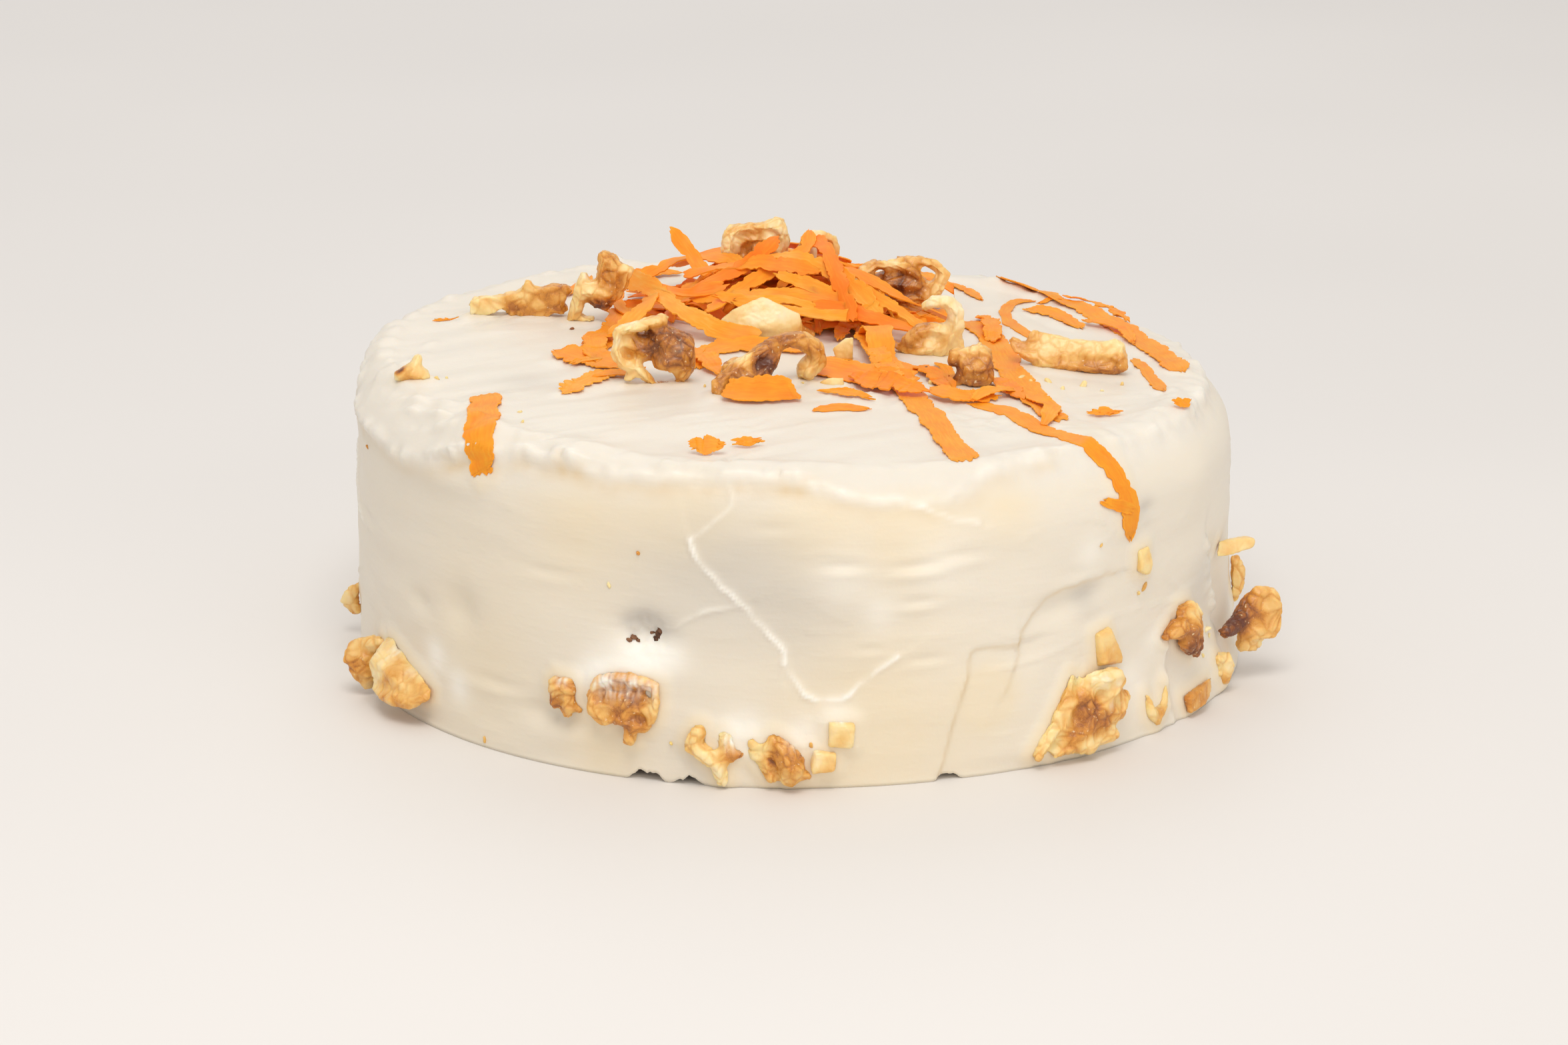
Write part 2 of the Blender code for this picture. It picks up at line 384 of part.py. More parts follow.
SIDE_KERNELS = (
    Kernel(
        "edge_left",
        (-68, 0.5),
        (
            ((3.4, 12.2, 1.0, 1.9), (0.6, 12.0, 3.0, 2.2), (-1.6, 10.4, 5.4, 2.4), (-1.0, 7.6, 6.6, 2.2)),
            ((0.0, 8.6, 3.6, 3.2), (1.0, 4.6, 3.4, 2.8), (0.4, 5.6, 5.6, 2.4), (0.6, 1.8, 3.6, 1.7)),
        ),
        sides=150,
    ),
    Kernel(
        "edge_left_high",
        (-92, 4),
        (((0, 2.2, 2.0, 1.8), (0, 4.2, 3.6, 2.2), (0.4, 6.4, 3.0, 1.9), (0.6, 8.4, 1.0, 1.4)),),
        sides=70,
    ),
    Kernel(
        "flat_left",
        (-59, 3),
        (((-5.5, 2.0, 5.6, 1.1), (0, 1.8, 6.2, 1.4), (5, 2.4, 5.6, 2.0), (9, 2.6, 4.0, 2.0),
         (12, 4.2, 2.0, 1.5)),),
        chip=(
            (-9.7, 12.6, 0.5), (-6, 13.5, 0.5), (0, 10.5, 1), (8, 7.8, 1), (13, 6.3, 0.5),
             (12.5, 4, 1.5), (-9, 7.2, 6),
            (-7, 3, 5.8), (0, 2.6, 6), (6, 2, 5), (-6, 9, 6.2), (2, 7, 6), (8, 5, 4.6), (-8, 6, -1),
             (10, 2, -1), (0, 2, -1),
        ),
        sides=170,
    ),
    Kernel(
        "small_left",
        (-29, 11),
        (
            ((-1.6, 7.8, 1.0, 2.9), (1.0, 7.8, 1.0, 2.9)),
            ((-1.6, 6.0, 1.2, 2.0), (-2.4, 3.8, 1.5, 1.6)),
            ((1.2, 6.0, 1.2, 2.0), (1.4, 4.0, 1.6, 1.9), (0.6, 1.8, 1.2, 1.5)),
            ((1.4, 4.0, 1.4, 1.6), (3.6, 3.0, 1.0, 1.3)),
        ),
        sides=110,
    ),
    Kernel(
        "smeared",
        (-20.7, 7.6),
        (
            ((-6.0, 14, 1.0, 1.8), (-2.5, 15.2, 1.5, 2.0), (2.0, 15.4, 1.5, 2.0), (6.0, 14.8, 1.0, 1.8)),
            ((-6.0, 14, 1.0, 1.8), (-7.6, 10.5, 1.5, 1.7), (-7.0, 7.6, 2.0, 1.9), (-4.0, 5.6, 2.4, 1.8)),
            ((7.4, 14.6, 1.5, 1.3), (7.4, 10, 2.0, 1.3), (6.4, 6.4, 2.0, 1.3), (4.4, 4.6, 1.6, 1.4)),
            ((-4.0, 11.5, -0.3, 3.0), (2.5, 11.5, -0.3, 3.2), (0.5, 8.0, 0.3, 3.2)),
            ((-4.4, 8.6, 0.4, 2.8), (0.0, 9.4, 0.4, 3.0), (4.4, 8.6, 0.4, 2.8)),
            ((-3.0, 6.2, 2.4, 1.7), (-0.6, 6.6, 2.6, 1.7), (2.6, 5.4, 2.4, 1.8), (1.2, 3.4, 2.0, 1.5),
             (1.2, 1.9, 2.0, 2.0)),
        ),
        sides=230,
    ),
    Kernel(
        "forked",
        (-8.8, 0.4),
        (
            ((-4.6, 12.0, 1.0, 2.4), (-6.0, 9.4, 1.2, 2.6), (-3.0, 7.0, 1.5, 2.4), (-0.5, 5.4, 1.5, 2.3)),
            ((-0.5, 5.4, 1.5, 2.3), (0.2, 2.8, 1.5, 2.0), (0.4, 1.3, 1.4, 1.6)),
            ((0.8, 10.8, 0.8, 2.3), (1.6, 8.0, 1.0, 2.2), (-0.2, 5.4, 1.5, 2.2)),
            ((4.4, 7.8, 1.0, 1.2), (1.8, 6.8, 1.2, 1.8)),
        ),
        sides=160,
    ),
    Kernel(
        "curled_foot",
        (-1.6, 0.4),
        (
            ((-6.2, 10.3, 0.5, 1.6), (-5.6, 7.4, 0.8, 1.6), (-3.4, 4.4, 1.0, 1.5)),
            ((-1.6, 11.4, 1.0, 1.5), (-3.4, 9.0, 1.5, 1.5), (-3.4, 5.4, 1.8, 1.5), (-2.0, 2.4, 1.8, 1.5)),
            ((-1.6, 11.4, 1.0, 1.5), (0.4, 8.8, 2.2, 2.8), (2.4, 5.4, 2.4, 3.6), (2.2, 2.8, 2.2, 2.6)),
            ((2.6, 4.4, 2.0, 2.4), (5.6, 3.0, 1.2, 1.5)),
        ),
        sides=190,
    ),
    Kernel(
        "square_chip",
        (5.6, 9.4),
        chip=(
            (-3, 0.6, 1.6), (2.4, 0, 1.6), (3, 5.4, 1.6), (-2.6, 6, 1.6), (-3.2, 0, -1), (3, 0, -1),
            (3.2, 6, -1), (-3, 6.2, -1),
        ),
        sides=40,
    ),
    Kernel(
        "square_chip_low",
        (3.4, 4.0),
        chip=(
            (-3, 0, 2.2), (2.6, 0.6, 2.0), (3, 4.6, 1.6), (-1.8, 5.2, 2.0), (-3.2, 0, -1), (3, 0, -1),
            (3.2, 4.8, -1), (-2.4, 5.4, -1),
        ),
        sides=40,
    ),
    Kernel(
        "large_right",
        (37, 0.6),
        (
            ((-12.5, 2.6, 1.5, 1.8), (-9.4, 6.5, 1.6, 1.9), (-6.0, 12, 1.4, 1.7), (-2.2, 18.6, 1.0, 1.4)),
            ((-6.8, 8.4, 1.0, 2.8), (-3.4, 13, 1.0, 2.6), (1.0, 15, 1.0, 2.6), (0.6, 10, 1.6, 3.2),
             (5.6, 6.6, 1.6, 2.8)),
            ((-4.4, 6.0, 1.6, 2.8), (0.0, 6.0, 2.0, 3.0), (4.0, 11.0, 1.6, 3.0), (8.6, 8.6, 1.8, 2.6)),
            ((1.4, 17.0, 2.0, 2.0), (4.0, 17.4, 3.0, 2.4), (8.6, 17.8, 2.8, 2.2),
             (10.6, 15.8, 2.4, 1.9), (6.6, 13.6, 3.2, 2.2)),
            ((11.8, 11.4, 1.6, 2.3), (10.6, 7.8, 1.8, 2.2)),
            ((-7.6, 2.2, 2.0, 1.7), (-4.0, 3.6, 2.4, 2.0), (0.5, 2.6, 2.8, 2.5), (4.6, 3.4, 2.2, 1.8),
             (8.6, 3.6, 2.2, 2.0)),
        ),
        sides=280,
    ),
    Kernel(
        "wedge_right",
        (41.5, 18.6),
        chip=(
            (-3.6, 9, 1.4), (0.6, 9.6, 1.6), (4.6, 2, 1.6), (5, 0.4, 1), (-2.4, 1.4, 2.2), (-4, 9, -1),
            (1, 10, -1), (5, 0, -1), (-3, 1, -1),
        ),
        sides=50,
    ),
    Kernel(
        "narrow_right",
        (51, 0.7),
        (
            ((-3.4, 8.4, 0.4, 1.1), (-2.8, 4.6, 1.0, 1.8), (-0.4, 1.8, 1.0, 1.6), (2.8, 4.8, 0.8, 1.3),
             (3.8, 9.0, 0.4, 1.0)),
            ((-0.6, 4.2, 0.4, 1.6), (0.0, 2.0, 0.8, 1.5)),
        ),
        sides=80,
    ),
    Kernel(
        "low_right",
        (60, 0.6),
        chip=(
            (-5.5, 0.4, 1.6), (-6, 4.6, 1.4), (0, 5, 1.8), (7, 3.4, 1.2), (-4, 0.4, -1), (6, 2.4, -1),
            (-6, 5, -1), (7.4, 6.4, 0.6), (2, 1.2, 2.4),
        ),
        sides=60,
    ),
    Kernel(
        "fan_right",
        (57, 12.2),
        (
            ((-0.4, 13.4, 1.0, 1.6), (3.0, 13.0, 2.0, 2.2), (5.4, 10.6, 2.6, 1.8)),
            ((-6.4, 8.8, 1.4, 1.8), (-2.6, 9.8, 2.4, 2.8), (2.4, 9.0, 2.8, 2.8), (0.4, 6.0, 2.8, 2.6),
             (3.0, 3.4, 2.6, 2.0)),
            ((5.2, 9.0, 2.8, 1.7), (5.0, 5.0, 3.2, 1.7), (5.6, 1.6, 2.4, 1.4)),
        ),
        sides=180,
    ),
    Kernel(
        "large_edge_right",
        (75, 5.5),
        (
            ((-9.5, 8.2, 1.5, 1.9), (-5.0, 8.6, 3.0, 2.3), (-1.4, 10.2, 4.6, 2.7),
             (0.4, 12.6, 5.6, 2.6), (1.2, 14.6, 7.5, 2.3)),
            ((1.2, 14.6, 7.5, 2.3), (2.0, 14.4, 9.6, 2.1), (2.0, 12.0, 10.6, 2.1),
             (2.0, 9.0, 10.9, 2.0), (1.0, 5.6, 10.2, 2.0)),
            ((1.0, 5.6, 10.2, 2.0), (0.0, 6.0, 8.0, 2.6), (-2.4, 6.0, 5.2, 2.4), (-2.4, 3.0, 4.6, 2.2),
             (0.0, 2.6, 6.4, 2.0)),
            ((-1.0, 9.4, 4.6, 3.0), (0.6, 10.0, 7.0, 3.2), (1.2, 8.0, 9.0, 2.6)),
        ),
        sides=260,
    ),
    Kernel(
        "under_edge_right",
        (68, 0.8),
        (
            ((-1.6, 7.6, 0.8, 1.6), (1.2, 7.2, 1.4, 2.2), (2.4, 5.0, 1.6, 2.2), (0.6, 3.0, 1.6, 2.2),
             (3.0, 1.5, 1.4, 1.3)),
            ((1.0, 5.0, 0.8, 2.2), (-1.6, 4.4, 0.8, 1.4)),
        ),
        sides=100,
    ),
    Kernel(
        "shelf_right",
        (73, 30),
        (((-5.4, 2.6, 0.8, 2.2), (-2.0, 2.6, 2.6, 2.4), (1.6, 2.7, 4.6, 2.3), (3.4, 2.6, 6.2, 2.0)),),
        breaks=(((0, 4.0, 3.0), (0.0, 1.0, 0.1)), ((0, 2.4, 4.4), (-0.6, 0.2, 0.6))),
        sides=90,
    ),
    Kernel(
        "behind_edge_right",
        (90, 8.6),
        (((0.4, 1.8, 1.4, 1.7), (0, 5.0, 2.0, 2.1), (0, 8.2, 2.2, 2.0), (0.4, 10.8, 1.8, 1.7)),),
        sides=80,
    ),
    Kernel(
        "sliver_right",
        (48, 36.6),
        chip=(
            (-2, 7, 0.8), (1.4, 7.6, 1.0), (2.8, 3, 1.4), (2, 0, 0.8), (-1.6, 2, 1.4), (-2, 7, -1),
            (2.6, 7, -1), (2.4, 0, -1), (-2, 2, -1),
        ),
        sides=40,
    ),
    Kernel(
        "back_a",
        (110, 2),
        (
            ((-6.4, 8.6, 0.8, 2.0), (-3.2, 11.4, 1.6, 2.6), (1.4, 12.4, 1.8, 2.6), (5.0, 10.0, 1.4, 2.3)),
            ((-4.4, 6.0, 1.6, 2.6), (0.4, 7.6, 2.0, 3.2), (4.6, 6.0, 1.8, 2.6), (2.2, 2.8, 1.6, 2.0)),
        ),
        sides=150,
    ),
    Kernel(
        "back_b",
        (131, 0.6),
        (((-6.6, 2.8, 1.0, 1.9), (-2.4, 4.0, 1.6, 2.4), (2.4, 5.2, 1.6, 2.5), (6.2, 7.2, 1.0, 1.9)),),
        breaks=(((0, 4.5, 3.0), (0.1, 0.3, 1.0)),),
        sides=100,
    ),
    Kernel(
        "back_c",
        (152, 6),
        (
            ((-4.6, 9.8, 1.0, 2.0), (-1.4, 12.2, 1.4, 2.2), (2.6, 11.2, 1.6, 2.3), (4.2, 7.6, 1.6, 2.4),
             (2.0, 4.2, 1.6, 2.3)),
            ((2.0, 4.2, 1.6, 2.3), (-2.0, 3.4, 1.2, 1.9)),
            ((-0.4, 9.0, 0.2, 2.6), (0.6, 6.4, 0.2, 2.6)),
        ),
        sides=140,
    ),
    Kernel(
        "back_d",
        (183, 1),
        (
            ((-6.6, 12.4, 1.0, 1.7), (-2.6, 14.2, 1.6, 2.1), (2.0, 14.0, 1.6, 2.2),
             (5.8, 11.2, 1.4, 2.2), (6.6, 7.0, 1.6, 2.0)),
            ((-6.6, 12.4, 1.0, 1.7), (-7.2, 8.4, 1.6, 1.9), (-5.0, 4.6, 1.8, 2.2),
             (-1.0, 2.6, 2.0, 2.2), (3.6, 3.4, 1.8, 2.0)),
            ((-3.0, 9.0, -0.2, 3.2), (2.4, 8.4, -0.2, 3.4)),
        ),
        sides=200,
    ),
    Kernel(
        "back_e",
        (212, 8),
        (
            ((-5.0, 4.2, 1.2, 2.2), (-1.8, 7.0, 1.6, 2.8), (2.6, 7.6, 1.6, 2.6), (5.2, 4.8, 1.2, 2.0)),
            ((-0.6, 3.6, 1.6, 2.4), (1.6, 1.8, 1.2, 1.6)),
        ),
        sides=120,
    ),
    Kernel(
        "back_f",
        (244, 1.5),
        (
            ((-6.4, 3.0, 1.4, 2.0), (-3.6, 6.4, 1.8, 2.6), (-1.6, 10.6, 1.6, 2.4), (2.4, 13.0, 1.4, 2.2)),
            ((-2.0, 3.4, 2.0, 2.6), (2.2, 6.2, 2.0, 3.0), (5.6, 9.0, 1.4, 2.3), (6.6, 5.2, 1.4, 1.9)),
        ),
        sides=150,
    ),
)

# How far a kernel sinks into what carries it, and the roughness of a broken face
KERNEL_SINK = 0.8 * MM
WALL_SINK = 0.2 * MM
CHIP_RISE = 0.9 * MM
DEPTH_ON_TOP = 1.55
DEPTH_ON_WALL = 1.15
BREAK_ROUGHNESS = 0.2 * MM


def smooth_bump(offset):
    """A hill one high at 0 that fades to nothing at a distance of about 2."""
    return math.exp(-offset * offset)


def direction(angle):
    """The level unit vector that points outwards at an angle round the cake, in radians."""
    return Vector((math.sin(angle), -math.cos(angle), 0.0))


def top_height(x, y):
    """Height of the smooth top over a point: it leans down towards +X and swells in the middle."""
    inner = min(1.0, math.hypot(x, y) / WALL_RADIUS)
    return TOP_HEIGHT - TOP_SLOPE * x + DOME * (1.0 - inner * inner) - DOME * 0.5


def rim_inset(angle):
    """How far the rounded rim reaches in: less at the left than at the right."""
    share = 0.5 + 0.5 * math.sin(angle)
    return RIM_INSET_LEFT + (RIM_INSET_RIGHT - RIM_INSET_LEFT) * share


def foot_radius(angle):
    """Radius at the very foot, which flares most at the right."""
    return WALL_RADIUS + FOOT_FLARE * smooth_bump((angle - math.radians(75)) / 0.7)


def notch_height(angle):
    """Height of the coat's lower edge, which lifts where the sponge shows."""
    height = 0.0
    for notch in NOTCHES:
        turned = math.remainder(angle - math.radians(notch.angle), math.tau)
        across = turned * WALL_RADIUS / (notch.half_width * MM)
        height = max(height, notch.height * MM * smooth_bump(across))
    return height


def marks_at(angle, height):
    """The depth of the spatula's dents and swells at a place on the wall."""
    total = 0.0
    for mark in MARKS:
        turned = math.remainder(angle - math.radians(mark.angle), math.tau)
        along = turned * WALL_RADIUS / (mark.half_length * MM)
        up = (height - mark.height * MM) / (mark.half_height * MM)
        if abs(along) < 3 and abs(up) < 3:
            total += mark.depth * MM * smooth_bump(along) * smooth_bump(up)
    return total


def wave(point):
    """The broad unevenness of a hand-spread coat."""
    return WAVE_DEPTH * noise.noise(point / WAVE_SPACING)


def profile_point(angle, part, share):
    """A point of the coat's outer surface.

    part is wall, rim or top, and share runs from 0 to 1 along it, upwards and then inwards.
    """
    out = direction(angle)
    inset = rim_inset(angle)
    crown_radius = WALL_RADIUS - inset
    crown = out * crown_radius
    rim_top = top_height(crown.x, crown.y)
    wall_top = rim_top - RIM_DROP
    if part == "wall":
        low = notch_height(angle)
        height = low + (wall_top - low) * share
        flare = (foot_radius(angle) - WALL_RADIUS) * smooth_bump(height / FOOT_HEIGHT)
        base = out * (WALL_RADIUS + flare) + Vector((0, 0, height))
        normal = out
        relief = marks_at(angle, height) * min(1.0, height / (4 * MM))
    elif part == "rim":
        turn = share * math.pi / 2
        base = out * (crown_radius + inset * math.cos(turn))
        base.z = wall_top + RIM_DROP * math.sin(turn)
        normal = (out * math.cos(turn) + Vector((0, 0, math.sin(turn)))).normalized()
        ridge = noise.noise(Vector((math.sin(angle), math.cos(angle), 0.3)) * 4.0)
        relief = marks_at(angle, base.z) + RIM_RIDGE * smooth_bump((share - 0.75) / 0.22) * (0.5 + ridge)
    else:
        base = crown * (1.0 - share)
        base.z = top_height(base.x, base.y)
        normal = Vector((0, 0, 1))
        relief = 0.0
    relief += wave(base) * (0.0 if base.z < 1 * MM else 1.0)
    return base + normal * relief


def solid_mesh(name, points, faces):
    """A mesh of these points and faces, with its faces turned outwards."""
    mesh = bpy.data.meshes.new(name)
    mesh.from_pydata(points, [], faces)
    shaped = bmesh.new()
    shaped.from_mesh(mesh)
    bmesh.ops.recalc_face_normals(shaped, faces=shaped.faces)
    bmesh.ops.triangulate(shaped, faces=shaped.faces)
    shaped.to_mesh(mesh)
    shaped.free()
    return mesh


def add_object(name, mesh, material, smooth_angle=40):
    """Puts a mesh into the scene as a named object with its material, shaded smooth."""
    mesh.materials.clear()
    mesh.materials.append(material)
    mesh.shade_smooth()
    mesh.set_sharp_from_angle(angle=math.radians(smooth_angle))
    made = bpy.data.objects.new(name, mesh)
    bpy.context.scene.collection.objects.link(made)
    return made


def make_material(name, colour, roughness, subsurface=0.0):
    """A plain Principled material of one colour."""
    material = bpy.data.materials.new(name)
    material.use_nodes = True
    shader = material.node_tree.nodes["Principled BSDF"]
    shader.inputs["Base Color"].default_value = (*colour, 1.0)
    shader.inputs["Roughness"].default_value = roughness
    shader.inputs["Metallic"].default_value = 0.0
    shader.inputs["Subsurface Weight"].default_value = subsurface
    return material


def ring_strips(faces, lower, upper):
    """Joins two rings of the same count with four-sided faces."""
    count = len(lower)
    for i in range(count):
        j = (i + 1) % count
        faces.append((lower[i], lower[j], upper[j], upper[i]))


def add_ring(points, ring):
    """Adds a ring of points and gives their indices."""
    start = len(points)
    points.extend(ring)
    return list(range(start, start + len(ring)))


def coat_rings(points):
    """Adds the coat's outer rings, from the foot to the middle of the top: (their indices, the angles)."""
    angles = [math.tau * i / COAT_SIDES for i in range(COAT_SIDES)]
    steps = [("wall", i / WALL_ROWS) for i in range(WALL_ROWS)]
    steps += [("rim", i / RIM_ROWS) for i in range(RIM_ROWS)]
    steps += [("top", i / TOP_RINGS) for i in range(TOP_RINGS)]
    rings = [add_ring(points, [profile_point(a, part, share) for a in angles]) for part, share in steps]
    return rings, angles


def close_ring(points, faces, ring, centre):
    """Closes a ring with triangles that meet in one point."""
    middle = add_ring(points, [centre])[0]
    faces += [(ring[i], ring[(i + 1) % len(ring)], middle) for i in range(len(ring))]


def build_drum_mesh():
    """The coat's outer surface closed below: the solid that toppings keep clear of."""
    points, faces = [], []
    rings, _ = coat_rings(points)
    for lower, upper in zip(rings, rings[1:]):
        ring_strips(faces, lower, upper)
    close_ring(points, faces, rings[-1], profile_point(0.0, "top", 1.0))
    close_ring(points, faces, rings[0], Vector((0, 0, 0)))
    return solid_mesh("drum", points, faces)


def build_coat_mesh():
    """The cream cheese coat as a closed shell, open below where the sponge fills it."""
    points, faces = [], []
    rings, angles = coat_rings(points)
    for lower, upper in zip(rings, rings[1:]):
        ring_strips(faces, lower, upper)
    close_ring(points, faces, rings[-1], profile_point(0.0, "top", 1.0))

    inner_radius = SPONGE_RADIUS + GAP
    inner_height = SPONGE_HEIGHT + GAP
    profile = (
        (inner_radius, inner_height - SPONGE_ROUND),
        (inner_radius - SPONGE_ROUND, inner_height),
    )
    foot = [direction(a) * inner_radius + Vector((0, 0, notch_height(a))) for a in angles]
    inner = [add_ring(points, foot)]
    for radius, height in profile:
        inner.append(add_ring(points, [direction(a) * radius + Vector((0, 0, height)) for a in angles]))
    ring_strips(faces, rings[0], inner[0])
    for lower, upper in zip(inner, inner[1:]):
        ring_strips(faces, lower, upper)
    close_ring(points, faces, inner[-1], Vector((0, 0, inner_height)))
    return solid_mesh("coat", points, faces)


def build_sponge_mesh():
    """The dark sponge, one drum with a rounded upper edge."""
    points, faces = [], []
    angles = [math.tau * i / SPONGE_SIDES for i in range(SPONGE_SIDES)]
    outline = (
        (SPONGE_RADIUS, 0.0),
        (SPONGE_RADIUS, SPONGE_HEIGHT * 0.5),
        (SPONGE_RADIUS, SPONGE_HEIGHT - SPONGE_ROUND),
        (SPONGE_RADIUS - SPONGE_ROUND, SPONGE_HEIGHT),
    )
    rings = []
    for radius, height in outline:
        rings.append(add_ring(points, [direction(a) * radius + Vector((0, 0, height)) for a in angles]))
    for lower, upper in zip(rings, rings[1:]):
        ring_strips(faces, lower, upper)
    faces += [tuple(reversed(rings[0])), tuple(rings[-1])]
    return solid_mesh("sponge", points, faces)


class Body:
    """One closed surface that toppings keep clear of."""

    def __init__(self, mesh):
        points = [v.co.copy() for v in mesh.vertices]
        self.tree = BVHTree.FromPolygons(points, [tuple(p.vertices) for p in mesh.polygons])
        self.low = Vector([min(p[i] for p in points) for i in range(3)])
        self.high = Vector([max(p[i] for p in points) for i in range(3)])

    def may_touch(self, point, gap):
        """Whether the point is in the surface's box grown by the gap."""
        return all(self.low[i] - gap < point[i] < self.high[i] + gap for i in range(3))

    def holds(self, point):
        """Whether the point is inside: an odd number of walls lies on a line out of it."""
        heading = Vector((0.11, 0.23, 0.97)).normalized()
        walls, start = 0, point
        while True:
            hit = self.tree.ray_cast(start, heading)[0]
            if hit is None:
                return walls % 2 == 1
            walls += 1
            start = hit + heading * 1e-6

    def distance(self, point):
        """(nearest place, signed distance, way out); the distance is negative inside."""
        place, normal, _, away = self.tree.find_nearest(point)
        inside = self.holds(point)
        way = (place - point) if inside else (point - place)
        way = way.normalized() if way.length > 1e-7 else normal
        return place, (-away if inside else away), way


class Ground:
    """The surfaces that toppings lie on; the first one is the coat."""

    def __init__(self, mesh):
        self.bodies = [Body(mesh)]

    def add(self, mesh):
        """Adds one more surface to keep clear of."""
        self.bodies.append(Body(mesh))

    def on_coat(self, point):
        """(place, normal) of the coat's surface nearest to a point."""
        place, normal, _, _ = self.bodies[0].tree.find_nearest(point)
        return place, normal

    def lift(self, point, gap, bodies=None):
        """The point, moved out where it is nearer to a surface than the gap."""
        for _ in range(4):
            moved = False
            for body in self.bodies if bodies is None else bodies:
                if not body.may_touch(point, gap):
                    continue
                place, away, way = body.distance(point)
                if away < gap:
                    point = place + way * gap * 1.02
                    moved = True
            if not moved:
                break
        return point

    def clearance(self, point, reach):
        """The distance to the nearest surface, or the reach where none is nearer."""
        return min([reach, *(b.distance(point)[1] for b in self.bodies if b.may_touch(point, reach))])

    def is_clear(self, point, gap, bodies):
        """Whether a point keeps the gap to all of these surfaces."""
        return all(not b.may_touch(point, gap) or b.distance(point)[1] >= gap for b in bodies)


def spline(route, step):
    """Points a step apart along a smooth curve through the route's points."""
    ends = [route[0] * 2 - route[1], *route, route[-1] * 2 - route[-2]]
    dense = []
    for a, b, c, d in zip(ends, ends[1:], ends[2:], ends[3:]):
        for i in range(12):
            t = i / 12
            square = (2 * a - 5 * b + 4 * c - d) * t * t
            cube = (3 * b - a - 3 * c + d) * t**3
            dense.append(0.5 * (2 * b + (c - a) * t + square + cube))
    dense.append(route[-1])
    along = [0.0]
    for a, b in zip(dense, dense[1:]):
        along.append(along[-1] + (b - a).length)
    count = max(3, round(along[-1] / step))
    made, j = [], 0
    for i in range(count + 1):
        want = along[-1] * i / count
        while j < len(dense) - 2 and along[j + 1] < want:
            j += 1
        share = (want - along[j]) / max(along[j + 1] - along[j], 1e-9)
        made.append(dense[j].lerp(dense[j + 1], min(1.0, share)))
    return made


def ribbon_mesh(name, sections, thickness):
    """A closed thin strip. sections are (left, right, normal) of its under side."""
    points, faces = [], []
    for left, right, normal in sections:
        rise = normal * thickness
        points += [left, right, right + rise, left + rise]
    for i in range(len(sections) - 1):
        a, b = 4 * i, 4 * (i + 1)
        faces += [(a, b, b + 1), (a, b + 1, a + 1), (a + 3, b + 2, b + 3), (a + 3, a + 2, b + 2)]
        faces += [(a + 1, b + 1, b + 2), (a + 1, b + 2, a + 2), (a, a + 3, b + 3), (a, b + 3, b)]
    end = 4 * (len(sections) - 1)
    faces += [(0, 1, 2), (0, 2, 3), (end, end + 2, end + 1), (end, end + 3, end + 2)]
    return solid_mesh(name, points, faces)


def shred_width(share, width):
    """Width along a shred, which narrows at its two ends."""
    return width * (0.55 + 0.45 * min(1.0, 7.0 * share, 7.0 * (1.0 - share)))


def settle(sections, ground):
    """Raises the sections of a strip wherever its under side comes too near to what lies below."""
    for _ in range(9):
        lifts = [0.0] * len(sections)
        for i, (left, right, _) in enumerate(sections):
            j = min(i + 1, len(sections) - 1)
            after = sections[j]
            for across in (0.0, 0.25, 0.5, 0.75, 1.0):
                for along in (0.0, 0.33, 0.67):
                    probe = left.lerp(right, across).lerp(after[0].lerp(after[1], across), along)
                    short = GAP * 1.7 - ground.clearance(probe, GAP * 1.7)
                    lifts[i] = max(lifts[i], short)
                    lifts[j] = max(lifts[j], short)
        if max(lifts) <= 0:
            break
        sections = [(a + n * up, b + n * up, n) for (a, b, n), up in zip(sections, lifts)]
    return sections


def loose_shred_mesh(shred, ground):
    """A shred that lies on the coat along its route."""
    path = spline([Vector(p) * MM for p in shred.route], shred.step)
    sections = []
    for i, point in enumerate(path):
        ahead = (path[min(i + 1, len(path) - 1)] - path[max(i - 1, 0)]).normalized()
        place, normal = ground.on_coat(point)
        side = normal.cross(ahead).normalized() * shred_width(i / (len(path) - 1), shred.width * MM) / 2
        left, left_normal = ground.on_coat(place + side)
        right, right_normal = ground.on_coat(place - side)
        gap = GAP * 1.6
        sections.append((left + left_normal * gap, right + right_normal * gap, normal))
    return ribbon_mesh(shred.name, settle(sections, ground), SHRED_THICKNESS)


def heap_core_height(x, y):
    """How high the heap's core stands over the coat at a point, negative outside it."""
    across = math.hypot((x - HEAP_CENTRE[0]) / HEAP_CORE[0], (y - HEAP_CENTRE[1]) / HEAP_CORE[1])
    lumps = 0.9 * MM * noise.noise(Vector((x, y, 0.0)) / (9 * MM))
    return HEAP_CORE_HEIGHT * (1.0 - across**2.2) + lumps * smooth_bump(across)


